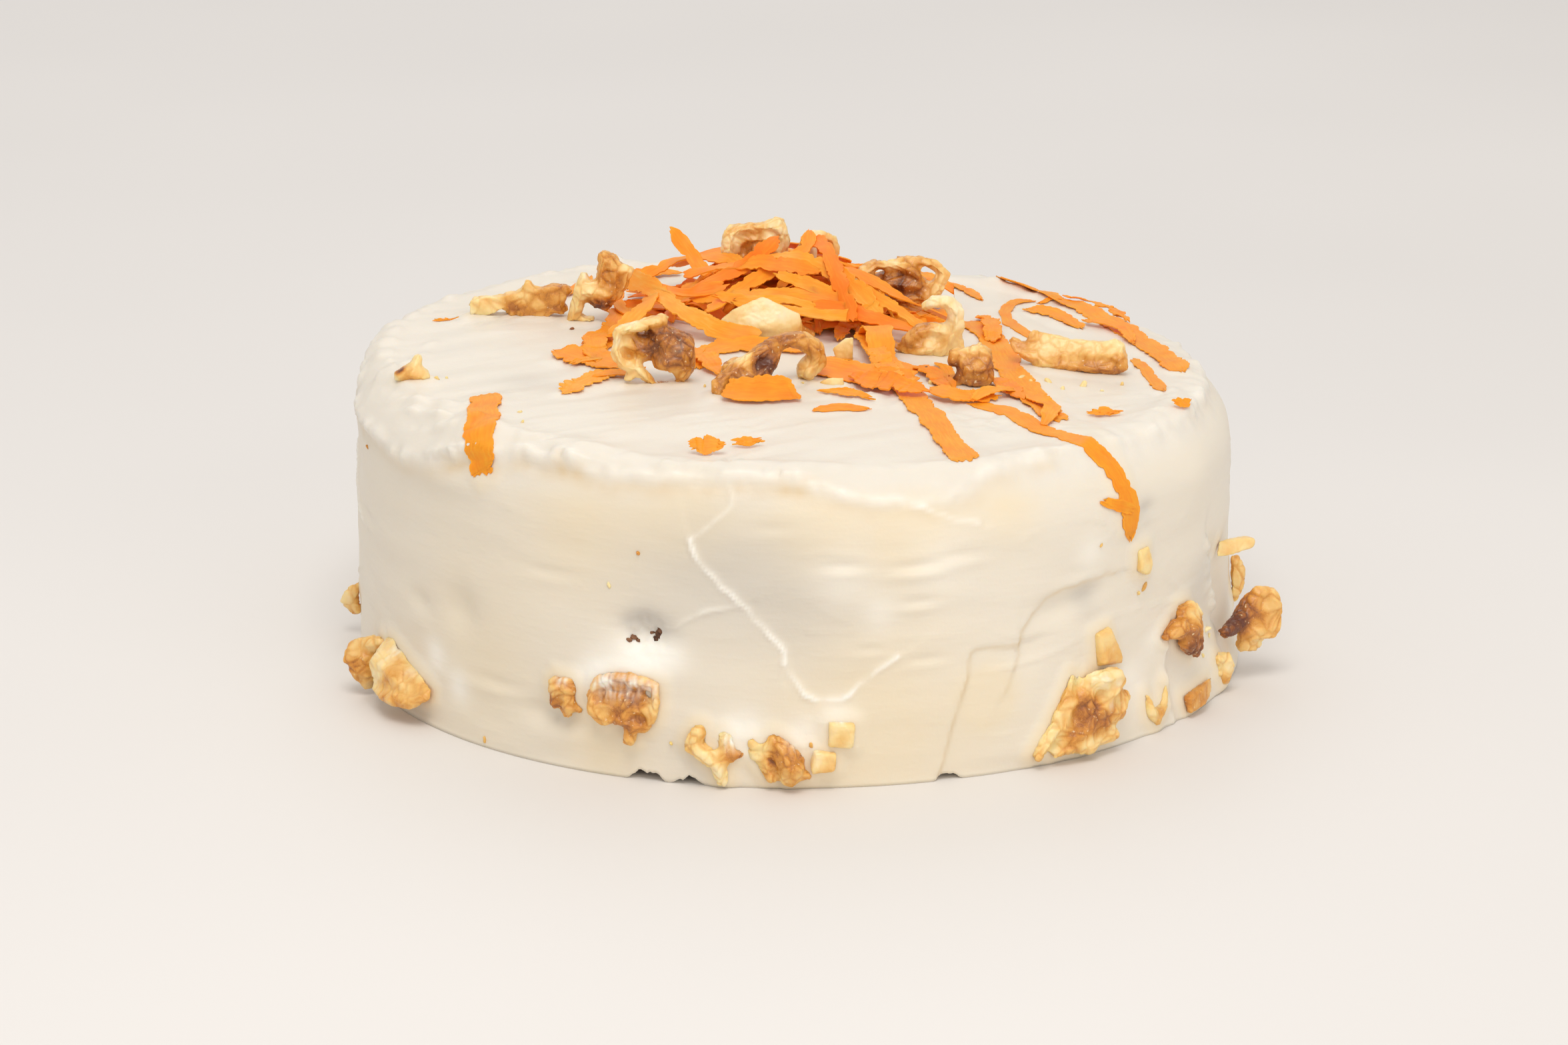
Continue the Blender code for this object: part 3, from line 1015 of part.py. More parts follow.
def build_heap_core(ground, depth=0.0):
    """The mound under the shreds, on the coat with a small gap, or reaching this deep below it."""
    rings, sides = 5, 26
    points, faces = [], []
    upper, lower = [], []
    for ring in range(rings + 1):
        share = 1.0 - ring / rings
        top, bottom = [], []
        for i in range(sides if ring < rings else 1):
            angle = math.tau * i / sides
            x = HEAP_CENTRE[0] + HEAP_CORE[0] * share * math.cos(angle)
            y = HEAP_CENTRE[1] + HEAP_CORE[1] * share * math.sin(angle)
            base = ground.lift(Vector((x, y, top_height(x, y) + GAP)), GAP * 1.6)
            bottom.append(base - Vector((0, 0, depth)))
            top.append(base + Vector((0, 0, max(0.8 * MM, heap_core_height(x, y)))))
        upper.append(add_ring(points, top))
        lower.append(add_ring(points, bottom))
    for rings_of, flip in ((upper, False), (lower, True)):
        for a, b in zip(rings_of, rings_of[1:]):
            if len(b) == 1:
                faces += [(a[i], a[(i + 1) % sides], b[0]) for i in range(sides)]
            else:
                ring_strips(faces, a, b)
    ring_strips(faces, lower[0], upper[0])
    return solid_mesh("heap_core", points, faces)


def heap_route(rng):
    """A random shred's route over the heap: (points in plan, width, lift, waves, phase)."""
    away = math.sqrt(rng.uniform(0.0, 0.85))
    angle = rng.uniform(0.0, math.tau)
    middle = Vector(
        (
            HEAP_CENTRE[0] + HEAP_SPREAD[0] * away * math.cos(angle) * 0.75,
            HEAP_CENTRE[1] + HEAP_SPREAD[1] * away * math.sin(angle) * 0.75,
            0.0,
        )
    )
    heading = rng.gauss(0.0, 0.75)
    half = rng.uniform(13.0, 27.0) * MM
    bend = rng.uniform(-0.5, 0.5)
    route = []
    for share in (-1.0, -0.35, 0.35, 1.0):
        turned = heading + bend * share
        route.append(middle + Vector((math.cos(turned), math.sin(turned), 0.0)) * half * share)
    width, lift = rng.uniform(4.0, 7.0) * MM, rng.uniform(1.0, 4.2) * MM
    return route, width, lift, rng.uniform(0.8, 1.6), rng.uniform(0.0, 1.0)


def random_heap_path(rng):
    """A random shred over the heap: (points of its middle, width, tilt)."""
    route, width, lift, waves, phase = heap_route(rng)
    path = spline(route, SHRED_STEP / 4)
    for i, point in enumerate(path):
        over = lift * abs(math.sin(math.pi * (waves * i / (len(path) - 1) + phase))) - 0.7 * MM
        core = heap_core_height(point.x, point.y)
        base = top_height(point.x, point.y) + wave(Vector((point.x, point.y, TOP_HEIGHT)))
        point.z = base + max(core, 0.0) + max(over, -0.7 * MM if core > 2 * MM else GAP * 2)
    return [p for p in path if in_heap(p)], width, phase


def heap_shred_mesh(name, path, width, phase, ground, kernels):
    """One shred of the heap, or None where kernels leave it too short."""
    run, longest = [], []
    for i, place in enumerate(path):
        share = i / (len(path) - 1)
        ahead = (path[min(i + 1, len(path) - 1)] - path[max(i - 1, 0)]).normalized()
        tilt = 0.35 * math.sin(5.0 * share + 9.0 * phase)
        normal = (Vector((0, 0, 1)) + Vector((-ahead.y, ahead.x, 0)) * tilt).normalized()
        side = normal.cross(ahead).normalized() * shred_width(share, width) / 2
        left = ground.lift(place + side, GAP * 1.6, ground.bodies[:1])
        right = ground.lift(place - side, GAP * 1.6, ground.bodies[:1])
        probes = [left, right, left.lerp(right, 0.5)]
        probes += [p + normal * SHRED_THICKNESS for p in probes]
        if all(ground.is_clear(p, SHRED_CLEARANCE, kernels) for p in probes):
            run.append((left, right, normal))
            longest = max(longest, run, key=len)
        else:
            run = []
    count = round(len(longest) / 4.6)
    if count < 3:
        return None
    sections = [longest[round(i * (len(longest) - 1) / count)] for i in range(count + 1)]
    return ribbon_mesh(name, sections, SHRED_THICKNESS)


def heap_shreds(ground, kernels):
    """The shreds of the heap: those drawn one by one, and the random ones between them."""
    rng = random.Random(SEED)
    drawn = [(spline([Vector(p) * MM for p in route], SHRED_STEP / 4), w * MM, w) for w, route in HEAP_ROUTES]
    paths = drawn + [random_heap_path(rng) for _ in range(HEAP_SHREDS - len(drawn))]
    paths = [path for path in paths if len(path[0]) > 8]
    made = [heap_shred_mesh(f"heap_{i}", *path, ground, kernels) for i, path in enumerate(paths)]
    return [m for m in made if m is not None]


def in_heap(point):
    """Whether a point in plan is inside the heap's outline."""
    across = (point.x - HEAP_CENTRE[0]) / HEAP_SPREAD[0]
    return across**2 + ((point.y - HEAP_CENTRE[1]) / HEAP_SPREAD[1]) ** 2 < 1.0


def evaluated_mesh(mesh, setups):
    """The mesh after these modifiers: each is a type and its settings."""
    holder = bpy.data.objects.new("shaping", mesh)
    bpy.context.scene.collection.objects.link(holder)
    for kind, settings in setups:
        modifier = holder.modifiers.new(kind.lower(), kind)
        for key, value in settings.items():
            setattr(modifier, key, value)
    graph = bpy.context.evaluated_depsgraph_get()
    made = bpy.data.meshes.new_from_object(holder.evaluated_get(graph))
    bpy.data.objects.remove(holder)
    return made


def strand_balls(strand):
    """Balls along a strand, close enough together to melt into one rope."""
    balls = []
    for start, end in zip(strand, strand[1:]):
        a, b = Vector(start), Vector(end)
        count = max(1, math.ceil((b - a).to_3d().length / (0.5 * min(a.w, b.w))))
        balls += [a.lerp(b, i / count) for i in range(count)]
    balls.append(Vector(strand[-1]))
    return balls


def raw_kernel_mesh(kernel, depth):
    """The overlapping balls, this much deeper than wide, and the chip of a kernel in its own frame."""
    shaped = bmesh.new()
    for strand in kernel.strands:
        for ball in strand_balls(strand):
            place = Matrix.Translation(Vector((ball.x, ball.y, ball.z)) * MM)
            deep = Matrix.Diagonal((1.0, 1.0, depth, 1.0))
            bmesh.ops.create_icosphere(shaped, subdivisions=1, radius=ball.w * 1.04 * MM, matrix=place @ deep)
    if kernel.chip:
        corners = [shaped.verts.new(Vector(c) * MM) for c in kernel.chip]
        hull = bmesh.ops.convex_hull(shaped, input=corners)
        loose = [v for v in hull["geom_interior"] + hull["geom_unused"] if isinstance(v, bmesh.types.BMVert)]
        bmesh.ops.delete(shaped, geom=list(set(loose)), context="VERTS")
    mesh = bpy.data.meshes.new(kernel.name)
    shaped.to_mesh(mesh)
    shaped.free()
    return mesh


def kernel_mesh(kernel, frame, ground):
    """A kernel's mesh in place: melted together, broken flat, and pressed against what carries it."""
    melt = ("REMESH", {"mode": "VOXEL", "voxel_size": LOBE_CELL})
    depth = DEPTH_ON_TOP if kernel in TOP_KERNELS else DEPTH_ON_WALL
    mesh = evaluated_mesh(raw_kernel_mesh(kernel, depth), [melt])
    for place, normal in kernel.breaks:
        place, normal = Vector(place) * MM, Vector(normal).normalized()
        for vertex in mesh.vertices:
            over = (vertex.co - place).dot(normal) + BREAK_ROUGHNESS * noise.noise(vertex.co / (3 * MM))
            if over > 0:
                vertex.co -= normal * over
    mesh.transform(frame)
    for vertex in mesh.vertices:
        vertex.co = ground.lift(vertex.co, GAP * 1.8)
    count = sum(len(p.vertices) - 2 for p in mesh.polygons)
    mesh = evaluated_mesh(
        mesh,
        [
            ("SMOOTH", {"factor": KERNEL_SMOOTHING, "iterations": 3}),
            ("TRIANGULATE", {}),
            ("DECIMATE", {"ratio": kernel.sides / count}),
        ],
    )
    for vertex in mesh.vertices:
        vertex.co = ground.lift(vertex.co, GAP * 1.5)
    return mesh


def frame_on_top(kernel, ground):
    """Where a kernel on the top stands: upright on the highest thing under its place."""
    x, y = (c * MM for c in kernel.place)
    hits = [b.tree.ray_cast(Vector((x, y, 2 * TOP_HEIGHT)), Vector((0, 0, -1)))[0] for b in ground.bodies[:2]]
    high = max(h.z for h in hits if h is not None)
    frame = Matrix(((1, 0, 0), (0, 0, -1), (0, 1, 0))).to_4x4()
    turn = Matrix.Rotation(math.radians(kernel.turn), 4, "Z")
    return Matrix.Translation((x, y, high - KERNEL_SINK)) @ turn @ frame


def frame_on_wall(kernel, ground):
    """Where a kernel on the wall is stuck: its height points upwards and its third axis outwards."""
    angle = math.radians(kernel.place[0])
    height = Vector((0, 0, kernel.place[1] * MM))
    out = direction(angle)
    side = Vector((math.cos(angle), math.sin(angle), 0.0))
    level = height + Vector((0, 0, 4 * MM))
    skin = ground.bodies[0].tree.ray_cast(out * 2 * WALL_RADIUS + level, -out)[0] - level
    rise = CHIP_RISE if not kernel.strands else -WALL_SINK
    frame = Matrix((side, Vector((0, 0, 1)), out)).transposed().to_4x4()
    return Matrix.Translation(skin + out * rise + height) @ frame


def floor_clear(mesh):
    """Keeps every point of a kernel at the foot a little over the surface that the cake stands on."""
    for vertex in mesh.vertices:
        vertex.co.z = max(vertex.co.z, GAP)


def flake_mesh(flake, ground):
    """A small thin scrap that is sunk a little into the coat."""
    place, normal = ground.on_coat(Vector(flake.place) * MM)
    turn = math.radians(flake.turn)
    side = normal.cross(Vector((math.cos(turn), math.sin(turn), 0))).normalized()
    ahead = side.cross(normal).normalized()
    rim = []
    for i in range(7):
        angle = math.tau * i / 7
        reach = (1.0 if i % 2 else 0.62) * 0.5 * MM
        way = ahead * math.cos(angle) * flake.length + side * math.sin(angle) * flake.width
        rim.append(way * reach)
    low = [place + r - normal * 1.0 * MM for r in rim]
    high = [place + r + normal * 0.8 * MM for r in rim]
    faces = [(i, (i + 1) % 7, (i + 1) % 7 + 7, i + 7) for i in range(7)]
    faces += [tuple(range(6, -1, -1)), tuple(range(7, 14))]
    return solid_mesh("flake", low + high, faces)


def fuse(name, mesh, extras):
    """One closed mesh of a body and the pieces fused to it."""
    body = bpy.data.objects.new(name, mesh)
    bpy.context.scene.collection.objects.link(body)
    pieces = bpy.data.collections.new(name + "_pieces")
    bpy.context.scene.collection.children.link(pieces)
    for i, extra in enumerate(extras):
        pieces.objects.link(bpy.data.objects.new(f"{name}_{i}", extra))
    join = body.modifiers.new("join", "BOOLEAN")
    join.operation = "UNION"
    join.operand_type = "COLLECTION"
    join.collection = pieces
    join.solver = "EXACT"
    bpy.context.view_layer.update()
    fused = bpy.data.meshes.new_from_object(body.evaluated_get(bpy.context.evaluated_depsgraph_get()))
    for piece in list(pieces.objects):
        bpy.data.objects.remove(piece)
    bpy.data.collections.remove(pieces)
    bpy.data.objects.remove(body)
    return keep_largest(fused)


def thin_out(mesh, sides):
    """The mesh with about this many triangles."""
    count = sum(len(p.vertices) - 2 for p in mesh.polygons)
    return evaluated_mesh(mesh, [("DECIMATE", {"ratio": min(1.0, sides / count)})])


def keep_largest(mesh):
    """Drops every loose scrap of a mesh but its largest body."""
    shaped = bmesh.new()
    shaped.from_mesh(mesh)
    left = set(shaped.verts)
    bodies = []
    while left:
        body, edge_of = set(), [left.pop()]
        while edge_of:
            vertex = edge_of.pop()
            body.add(vertex)
            for edge in vertex.link_edges:
                other = edge.other_vert(vertex)
                if other in left:
                    left.discard(other)
                    edge_of.append(other)
        bodies.append(body)
    bodies.sort(key=len)
    for body in bodies[:-1]:
        bmesh.ops.delete(shaped, geom=list(body), context="VERTS")
    bmesh.ops.triangulate(shaped, faces=shaped.faces)
    shaped.to_mesh(mesh)
    shaped.free()
    return mesh


def clear_scene():
    """Removes the startup scene's objects."""
    for thing in list(bpy.data.objects):
        bpy.data.objects.remove(thing)


def main():
    clear_scene()
    cream = make_material("cream_cheese_frosting", (0.80, 0.74, 0.62), 0.45, 0.2)
    crumb = make_material("carrot_sponge", (0.09, 0.04, 0.02), 0.9)
    carrot = make_material("carrot", (0.90, 0.26, 0.02), 0.45, 0.1)
    walnut = make_material("walnut", (0.48, 0.25, 0.09), 0.5)

    coat = build_coat_mesh()
    ground = Ground(build_drum_mesh())
    flakes = [flake_mesh(flake, ground) for flake in FLAKES]
    core = build_heap_core(ground)
    ground.add(build_heap_core(ground, 2 * HEAP_CORE_HEIGHT))

    for kernel in TOP_KERNELS + SIDE_KERNELS:
        on_top = kernel in TOP_KERNELS
        frame = frame_on_top(kernel, ground) if on_top else frame_on_wall(kernel, ground)
        mesh = kernel_mesh(kernel, frame, ground)
        if not on_top:
            floor_clear(mesh)
        ground.add(mesh)
        add_object(f"walnut_{'top' if on_top else 'side'}_{kernel.name}", mesh, walnut)

    heap = thin_out(fuse("heap", core, heap_shreds(ground, ground.bodies[2:])), HEAP_SIDES)
    ground.add(heap)
    add_object("carrot_heap", heap, carrot, 30)
    for shred in LOOSE_SHREDS:
        mesh = loose_shred_mesh(shred, ground)
        ground.add(mesh)
        add_object("carrot_shred_" + shred.name, mesh, carrot, 30)

    add_object("frosting", fuse("coat", coat, flakes), cream, 50)
    add_object("sponge", build_sponge_mesh(), crumb)


main()
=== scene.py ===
"""Looks of a round carrot cake: cream cheese coat, grated carrot, broken walnut kernels and dark sponge.

Everything is in metres in the CAD frame: +Z up and the front towards -Y. Sizes are written in millimetres
and multiplied by MM. An angle round the cake starts at the front and grows towards +X.
"""

import json
import logging
import math
import random
from collections.abc import Callable, Iterable, Sequence
from dataclasses import dataclass, field, replace
from enum import Enum

import bmesh
import bpy
import numpy as np
from mathutils import Matrix, Vector, noise
from mathutils.bvhtree import BVHTree

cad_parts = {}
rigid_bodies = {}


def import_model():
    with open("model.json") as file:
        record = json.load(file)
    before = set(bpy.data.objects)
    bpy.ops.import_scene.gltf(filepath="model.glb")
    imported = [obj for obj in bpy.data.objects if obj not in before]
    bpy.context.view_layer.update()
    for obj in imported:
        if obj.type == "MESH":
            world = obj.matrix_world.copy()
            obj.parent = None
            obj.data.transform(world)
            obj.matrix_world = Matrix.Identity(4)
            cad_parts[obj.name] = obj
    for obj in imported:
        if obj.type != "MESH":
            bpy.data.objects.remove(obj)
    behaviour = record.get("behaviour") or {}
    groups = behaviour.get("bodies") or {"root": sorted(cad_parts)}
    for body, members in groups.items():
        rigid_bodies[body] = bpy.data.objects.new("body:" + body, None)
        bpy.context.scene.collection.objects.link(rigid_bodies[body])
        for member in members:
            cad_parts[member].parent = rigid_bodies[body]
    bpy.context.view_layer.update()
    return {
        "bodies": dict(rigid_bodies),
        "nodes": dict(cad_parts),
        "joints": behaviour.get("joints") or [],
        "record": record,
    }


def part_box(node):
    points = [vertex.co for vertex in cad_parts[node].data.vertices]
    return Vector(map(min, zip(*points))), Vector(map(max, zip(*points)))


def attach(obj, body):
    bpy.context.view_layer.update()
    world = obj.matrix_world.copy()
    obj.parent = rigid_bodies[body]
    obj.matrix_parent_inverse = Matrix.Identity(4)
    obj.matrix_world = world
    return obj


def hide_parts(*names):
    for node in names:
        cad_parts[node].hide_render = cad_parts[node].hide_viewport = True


MM = 0.001
log = logging.getLogger("carrot_cake")

Point = tuple[float, float, float]
Route = tuple[Point, ...]


class Slot(Enum):
    """The record's material slots."""

    FROSTING = "frosting"
    SPONGE = "sponge"
    CARROT = "carrot"
    WALNUT = "walnut"


# ---------------------------------------------------------------- small tools


def linear(code: str) -> tuple[float, float, float, float]:
    """Turns an sRGB hex colour into linear RGBA.

    Args:
        code: the colour as "#RRGGBB".

    Returns:
        Four numbers from 0 to 1, alpha last.
    """
    parts = [int(code[i : i + 2], 16) / 255 for i in (1, 3, 5)]
    made = [p / 12.92 if p <= 0.04045 else ((p + 0.055) / 1.055) ** 2.4 for p in parts]
    return made[0], made[1], made[2], 1.0


def add_node(
    material: bpy.types.Material,
    kind: str,
    inputs: dict | None = None,
    stops: Sequence[tuple[float, str]] = (),
    **settings: object,
) -> bpy.types.Node:
    """Adds a shader node with its settings and links.

    Args:
        material: the material it goes into.
        kind: Blender's name of the node.
        inputs: for each socket, a value or the output socket to link.
        stops: a colour ramp's places and hex colours.
        **settings: the node's own properties.

    Returns:
        The new node.
    """
    node = material.node_tree.nodes.new(kind)
    for key, value in settings.items():
        setattr(node, key, value)
    for key, value in (inputs or {}).items():
        if isinstance(value, bpy.types.NodeSocket):
            material.node_tree.links.new(value, node.inputs[key])
        else:
            node.inputs[key].default_value = value
    if stops:
        ramp = node.color_ramp.elements
        while len(ramp) < len(stops):
            ramp.new(0.5)
        for element, (place, code) in zip(ramp, stops):
            element.position = place
            element.color = linear(code)
    return node


def deselect() -> None:
    """Deselects everything, out of edit mode."""
    active = bpy.context.view_layer.objects.active
    if active is not None and active.mode != "OBJECT":
        bpy.ops.object.mode_set(mode="OBJECT")
    bpy.ops.object.select_all(action="DESELECT")


def pick(thing: bpy.types.Object) -> bpy.types.Object:
    """Selects one object alone, makes it active and gives it back."""
    deselect()
    thing.select_set(True)
    bpy.context.view_layer.objects.active = thing
    return thing


def apply_modifier(thing: bpy.types.Object, kind: str, **settings: object) -> None:
    """Adds a modifier and applies it.

    Args:
        thing: the object.
        kind: Blender's name of the modifier's type.
        **settings: the modifier's properties.
    """
    pick(thing)
    modifier = thing.modifiers.new(kind.lower(), kind)
    for key, value in settings.items():
        setattr(modifier, key, value)
    bpy.ops.object.modifier_apply(modifier=modifier.name)


def new_grid(name: str, across: int, along: int) -> bpy.types.Object:
    """Adds a square grid from -1 to 1, with so many faces along x and y."""
    deselect()
    bpy.ops.mesh.primitive_grid_add(x_subdivisions=across, y_subdivisions=along, size=2)
    bpy.context.object.name = name
    return bpy.context.object


def read_points(mesh: bpy.types.Mesh) -> np.ndarray:
    """The mesh's vertices as rows of three numbers."""
    flat = np.empty(len(mesh.vertices) * 3, np.float32)
    mesh.vertices.foreach_get("co", flat)
    return flat.reshape(-1, 3).astype(float)


def read_normals(mesh: bpy.types.Mesh) -> np.ndarray:
    """The vertex normals as rows of three numbers."""
    flat = np.empty(len(mesh.vertices) * 3, np.float32)
    mesh.vertices.foreach_get("normal", flat)
    return flat.reshape(-1, 3).astype(float)


def write_points(mesh: bpy.types.Mesh, points: np.ndarray) -> None:
    """Moves the mesh's vertices."""
    mesh.vertices.foreach_set("co", np.asarray(points, np.float32).ravel())
    mesh.update()


def write_attribute(mesh: bpy.types.Mesh, name: str, values: Iterable[float]) -> None:
    """Stores one number for each vertex, for the material to read."""
    made = mesh.attributes.new(name, "FLOAT", "POINT")
    made.data.foreach_set("value", np.asarray(list(values), np.float32))


def join_all(parts: list[bpy.types.Object], name: str) -> bpy.types.Object:
    """Joins objects into the first of them and names it."""
    pick(parts[0])
    for part in parts[1:]:
        part.select_set(True)
    if len(parts) > 1:
        bpy.ops.object.join()
    made = bpy.context.object
    made.name = name
    made.data.name = name
    return made


def finish_piece(
    thing: bpy.types.Object,
    material: bpy.types.Material,
    nodes: Sequence[str] = (),
    crisp_angle: float | None = None,
) -> None:
    """Shades and dresses a piece and ties it to the frame.

    Args:
        thing: the piece, in its place.
        material: its finish.
        nodes: the CAD nodes that the piece stands for.
        crisp_angle: the angle in degrees over which an edge stays crisp, or None for smooth all over.
    """
    pick(thing)
    thing.data.materials.clear()
    thing.data.materials.append(material)
    if crisp_angle is None:
        bpy.ops.object.shade_smooth()
    else:
        bpy.ops.object.shade_smooth_by_angle(angle=math.radians(crisp_angle))
    if nodes:
        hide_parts(*nodes)
    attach(thing, "root")
    log.info("%s: %d vertices", thing.name, len(thing.data.vertices))


def direction(angle: float) -> Vector:
    """The level unit vector that points outwards at an angle round the cake, in radians."""
    return Vector((math.sin(angle), -math.cos(angle), 0.0))


def bump(offset: float) -> float:
    """A hill one high at 0 that fades to nothing at a distance of about 2."""
    return math.exp(-offset * offset)


def smooth_path(route: Sequence[Vector], step: float) -> list[Vector]:
    """Points about a step apart along a smooth curve through the route's points."""
    ends = [route[0] * 2 - route[1], *route, route[-1] * 2 - route[-2]]
    dense = []
    for a, b, c, d in zip(ends, ends[1:], ends[2:], ends[3:]):
        for i in range(16):
            t = i / 16
            square = (2 * a - 5 * b + 4 * c - d) * t * t
            cube = (3 * b - a - 3 * c + d) * t**3
            dense.append(0.5 * (2 * b + (c - a) * t + square + cube))
    dense.append(route[-1])
    along = [0.0]
    for a, b in zip(dense, dense[1:]):
        along.append(along[-1] + (b - a).length)
    count = max(4, round(along[-1] / step))
    made, j = [], 0
    for i in range(count + 1):
        want = along[-1] * i / count
        while j < len(dense) - 2 and along[j + 1] < want:
            j += 1
        share = (want - along[j]) / max(along[j + 1] - along[j], 1e-9)
        made.append(dense[j].lerp(dense[j + 1], min(1.0, share)))
    return made


def tree_of(thing: bpy.types.Object) -> BVHTree:
    """A search tree over an object's faces."""
    points = [v.co.copy() for v in thing.data.vertices]
    return BVHTree.FromPolygons(points, [tuple(p.vertices) for p in thing.data.polygons])


# ---------------------------------------------------------------- finishes


@dataclass(frozen=True)
class CreamCheeseFrosting:
    """Whipped cream cheese and butter, spread by hand: dense, matt to satin, and light goes a little way in."""

    white: str = "#E7E0D4"
    # The cream's warmer tone, also the colour of painted bounce light and painted shade
    warm_tone_and_painted_light: str = "#EADCC2"
    # Grey of thin cream over the sponge, also the colour of painted shade by the flap at the right
    grey: str = "#C8C2B9"
    # Painted highlight colour for raised lines and the crest, also whiter cream round kernels
    bright: str = "#F9F5EC"
    # Painted shade colour for the folds beside and under the raised lines and the crest
    fold: str = "#DCC49D"
    roughness: float = 0.42
    grain_mm: float = 0.8
    stroke_mm: float = 9.0

    def material(self) -> bpy.types.Material:
        """Builds the frosting's material.

        Returns:
            A cream white that turns warmer and greyer in broad clouds, with faint strokes in its relief.
        """
        made = bpy.data.materials.new("spread_cream_cheese_frosting")
        made.use_nodes = True
        shader = made.node_tree.nodes["Principled BSDF"]
        place = add_node(made, "ShaderNodeTexCoord").outputs["Object"]
        # Broad clouds: the coat is warmer where it is thick and greyer where the sponge shows through it. The warmer
        # tint also carries painted bounce light low on the side and painted shade under the front crest.
        clouds = add_node(made, "ShaderNodeTexNoise", {"Vector": place, "Scale": 28.0, "Detail": 3.0})
        warmth_and_painted_light = add_node(made, "ShaderNodeAttribute", attribute_name="warm_tone_and_painted_light").outputs["Fac"]
        mixed = add_node(
            made, "ShaderNodeMath", {0: clouds.outputs["Fac"], 1: warmth_and_painted_light}, operation="MULTIPLY_ADD"
        )
        mixed.inputs[1].default_value = 0.45
        made.node_tree.links.new(warmth_and_painted_light, mixed.inputs[2])
        tone = add_node(
            made,
            "ShaderNodeValToRGB",
            {"Fac": mixed.outputs[0]},
            stops=((0.18, self.white), (0.85, self.warm_tone_and_painted_light)),
        )
        thin = add_node(made, "ShaderNodeAttribute", attribute_name="thin").outputs["Fac"]
        shown = tone.outputs["Color"]
        # Scraped places are greyer, and painted shade by the flap at the right is grey too. The line tint is a painted
        # highlight on the raised lines, the crest and the dent's lower lip, plus whiter cream round the side's kernels;
        # the fold tint is painted shade beside and under the lines.
        fold = add_node(made, "ShaderNodeAttribute", attribute_name="fold").outputs["Fac"]
        line = add_node(made, "ShaderNodeAttribute", attribute_name="line").outputs["Fac"]
        for share, code in ((thin, self.grey), (fold, self.fold), (line, self.bright)):
            mix = add_node(made, "ShaderNodeMix", {"Factor": share}, data_type="RGBA")
            made.node_tree.links.new(shown, mix.inputs["A"])
            mix.inputs["B"].default_value = linear(code)
            shown = mix.outputs["Result"]
        made.node_tree.links.new(shown, shader.inputs["Base Color"])
        # Faint level strokes of the spatula, and the fine grain of the whipped cream
        stretched = add_node(
            made, "ShaderNodeMapping", {"Vector": place, "Scale": (0.28, 0.28, 1.0)}
        ).outputs[0]
        strokes = add_node(
            made,
            "ShaderNodeTexNoise",
            {"Vector": stretched, "Scale": 1 / (self.stroke_mm * MM * 0.35), "Detail": 2.0},
        )
        grain = add_node(
            made,
            "ShaderNodeTexNoise",
            {"Vector": place, "Scale": 1 / (self.grain_mm * MM), "Detail": 2.0},
        )
        rough = add_node(
            made,
            "ShaderNodeBump",
            {"Strength": 0.5, "Distance": 0.4 * MM, "Height": strokes.outputs["Fac"]},
        )
        fine = add_node(
            made,
            "ShaderNodeBump",
            {
                "Strength": 0.25,
                "Distance": 0.12 * MM,
                "Height": grain.outputs["Fac"],
                "Normal": rough.outputs["Normal"],
            },
        )
        made.node_tree.links.new(fine.outputs["Normal"], shader.inputs["Normal"])
        shader.inputs["Roughness"].default_value = self.roughness
        shader.inputs["IOR"].default_value = 1.45
        shader.inputs["Specular IOR Level"].default_value = 0.4
        shader.inputs["Subsurface Weight"].default_value = 0.25
        shader.inputs["Subsurface Radius"].default_value = (1.0, 0.75, 0.5)
        shader.inputs["Subsurface Scale"].default_value = 1.2 * MM
        return made


@dataclass(frozen=True)
class CarrotFlesh:
    """Raw grated carrot: moist, vivid orange, a little see-through, with fibres along the shred."""

    deep: str = "#FA7F10"
    bright: str = "#FFA022"
    pale: str = "#FFC062"
    roughness: float = 0.48
    fibre_mm: float = 0.7

    def material(self) -> bpy.types.Material:
        """Builds the carrot's material.

        Returns:
            Orange with long fibres that follow each shred's own map, paler and deeper from shred to shred.
        """
        made = bpy.data.materials.new("raw_grated_carrot")
        made.use_nodes = True
        shader = made.node_tree.nodes["Principled BSDF"]
        place = add_node(made, "ShaderNodeTexCoord")
        # The map runs in millimetres along and across a shred, so a fibre is long and narrow
        along = add_node(
            made, "ShaderNodeMapping", {"Vector": place.outputs["UV"], "Scale": (1.2, 9.0, 1.0)}
        ).outputs[0]
        fibres = add_node(made, "ShaderNodeTexNoise", {"Vector": along, "Scale": 1.0, "Detail": 3.0})
        clouds = add_node(
            made,
            "ShaderNodeTexNoise",
            {"Vector": place.outputs["Object"], "Scale": 180.0, "Detail": 3.0},
        )
        # The tint holds each shred's own paleness, and a painted light along its long edges
        tint = add_node(made, "ShaderNodeAttribute", attribute_name="tint").outputs["Fac"]
        first = add_node(
            made,
            "ShaderNodeMath",
            {0: fibres.outputs["Fac"], 1: 0.55},
            operation="MULTIPLY_ADD",
        )
        made.node_tree.links.new(tint, first.inputs[2])
        second = add_node(
            made,
            "ShaderNodeMath",
            {0: clouds.outputs["Fac"], 1: 0.45, 2: first.outputs[0]},
            operation="MULTIPLY_ADD",
        )
        tone = add_node(
            made,
            "ShaderNodeValToRGB",
            {"Fac": second.outputs[0]},
            stops=((0.25, self.deep), (0.62, self.bright), (1.0, self.pale)),
        )
        made.node_tree.links.new(tone.outputs["Color"], shader.inputs["Base Color"])
        rough = add_node(
            made,
            "ShaderNodeBump",
            {"Strength": 0.3, "Distance": 0.2 * MM, "Height": fibres.outputs["Fac"]},
        )
        made.node_tree.links.new(rough.outputs["Normal"], shader.inputs["Normal"])
        shader.inputs["Roughness"].default_value = self.roughness
        shader.inputs["IOR"].default_value = 1.38
        shader.inputs["Subsurface Weight"].default_value = 0.3
        shader.inputs["Subsurface Radius"].default_value = (1.0, 0.5, 0.12)
        shader.inputs["Subsurface Scale"].default_value = 1.5 * MM
        return made


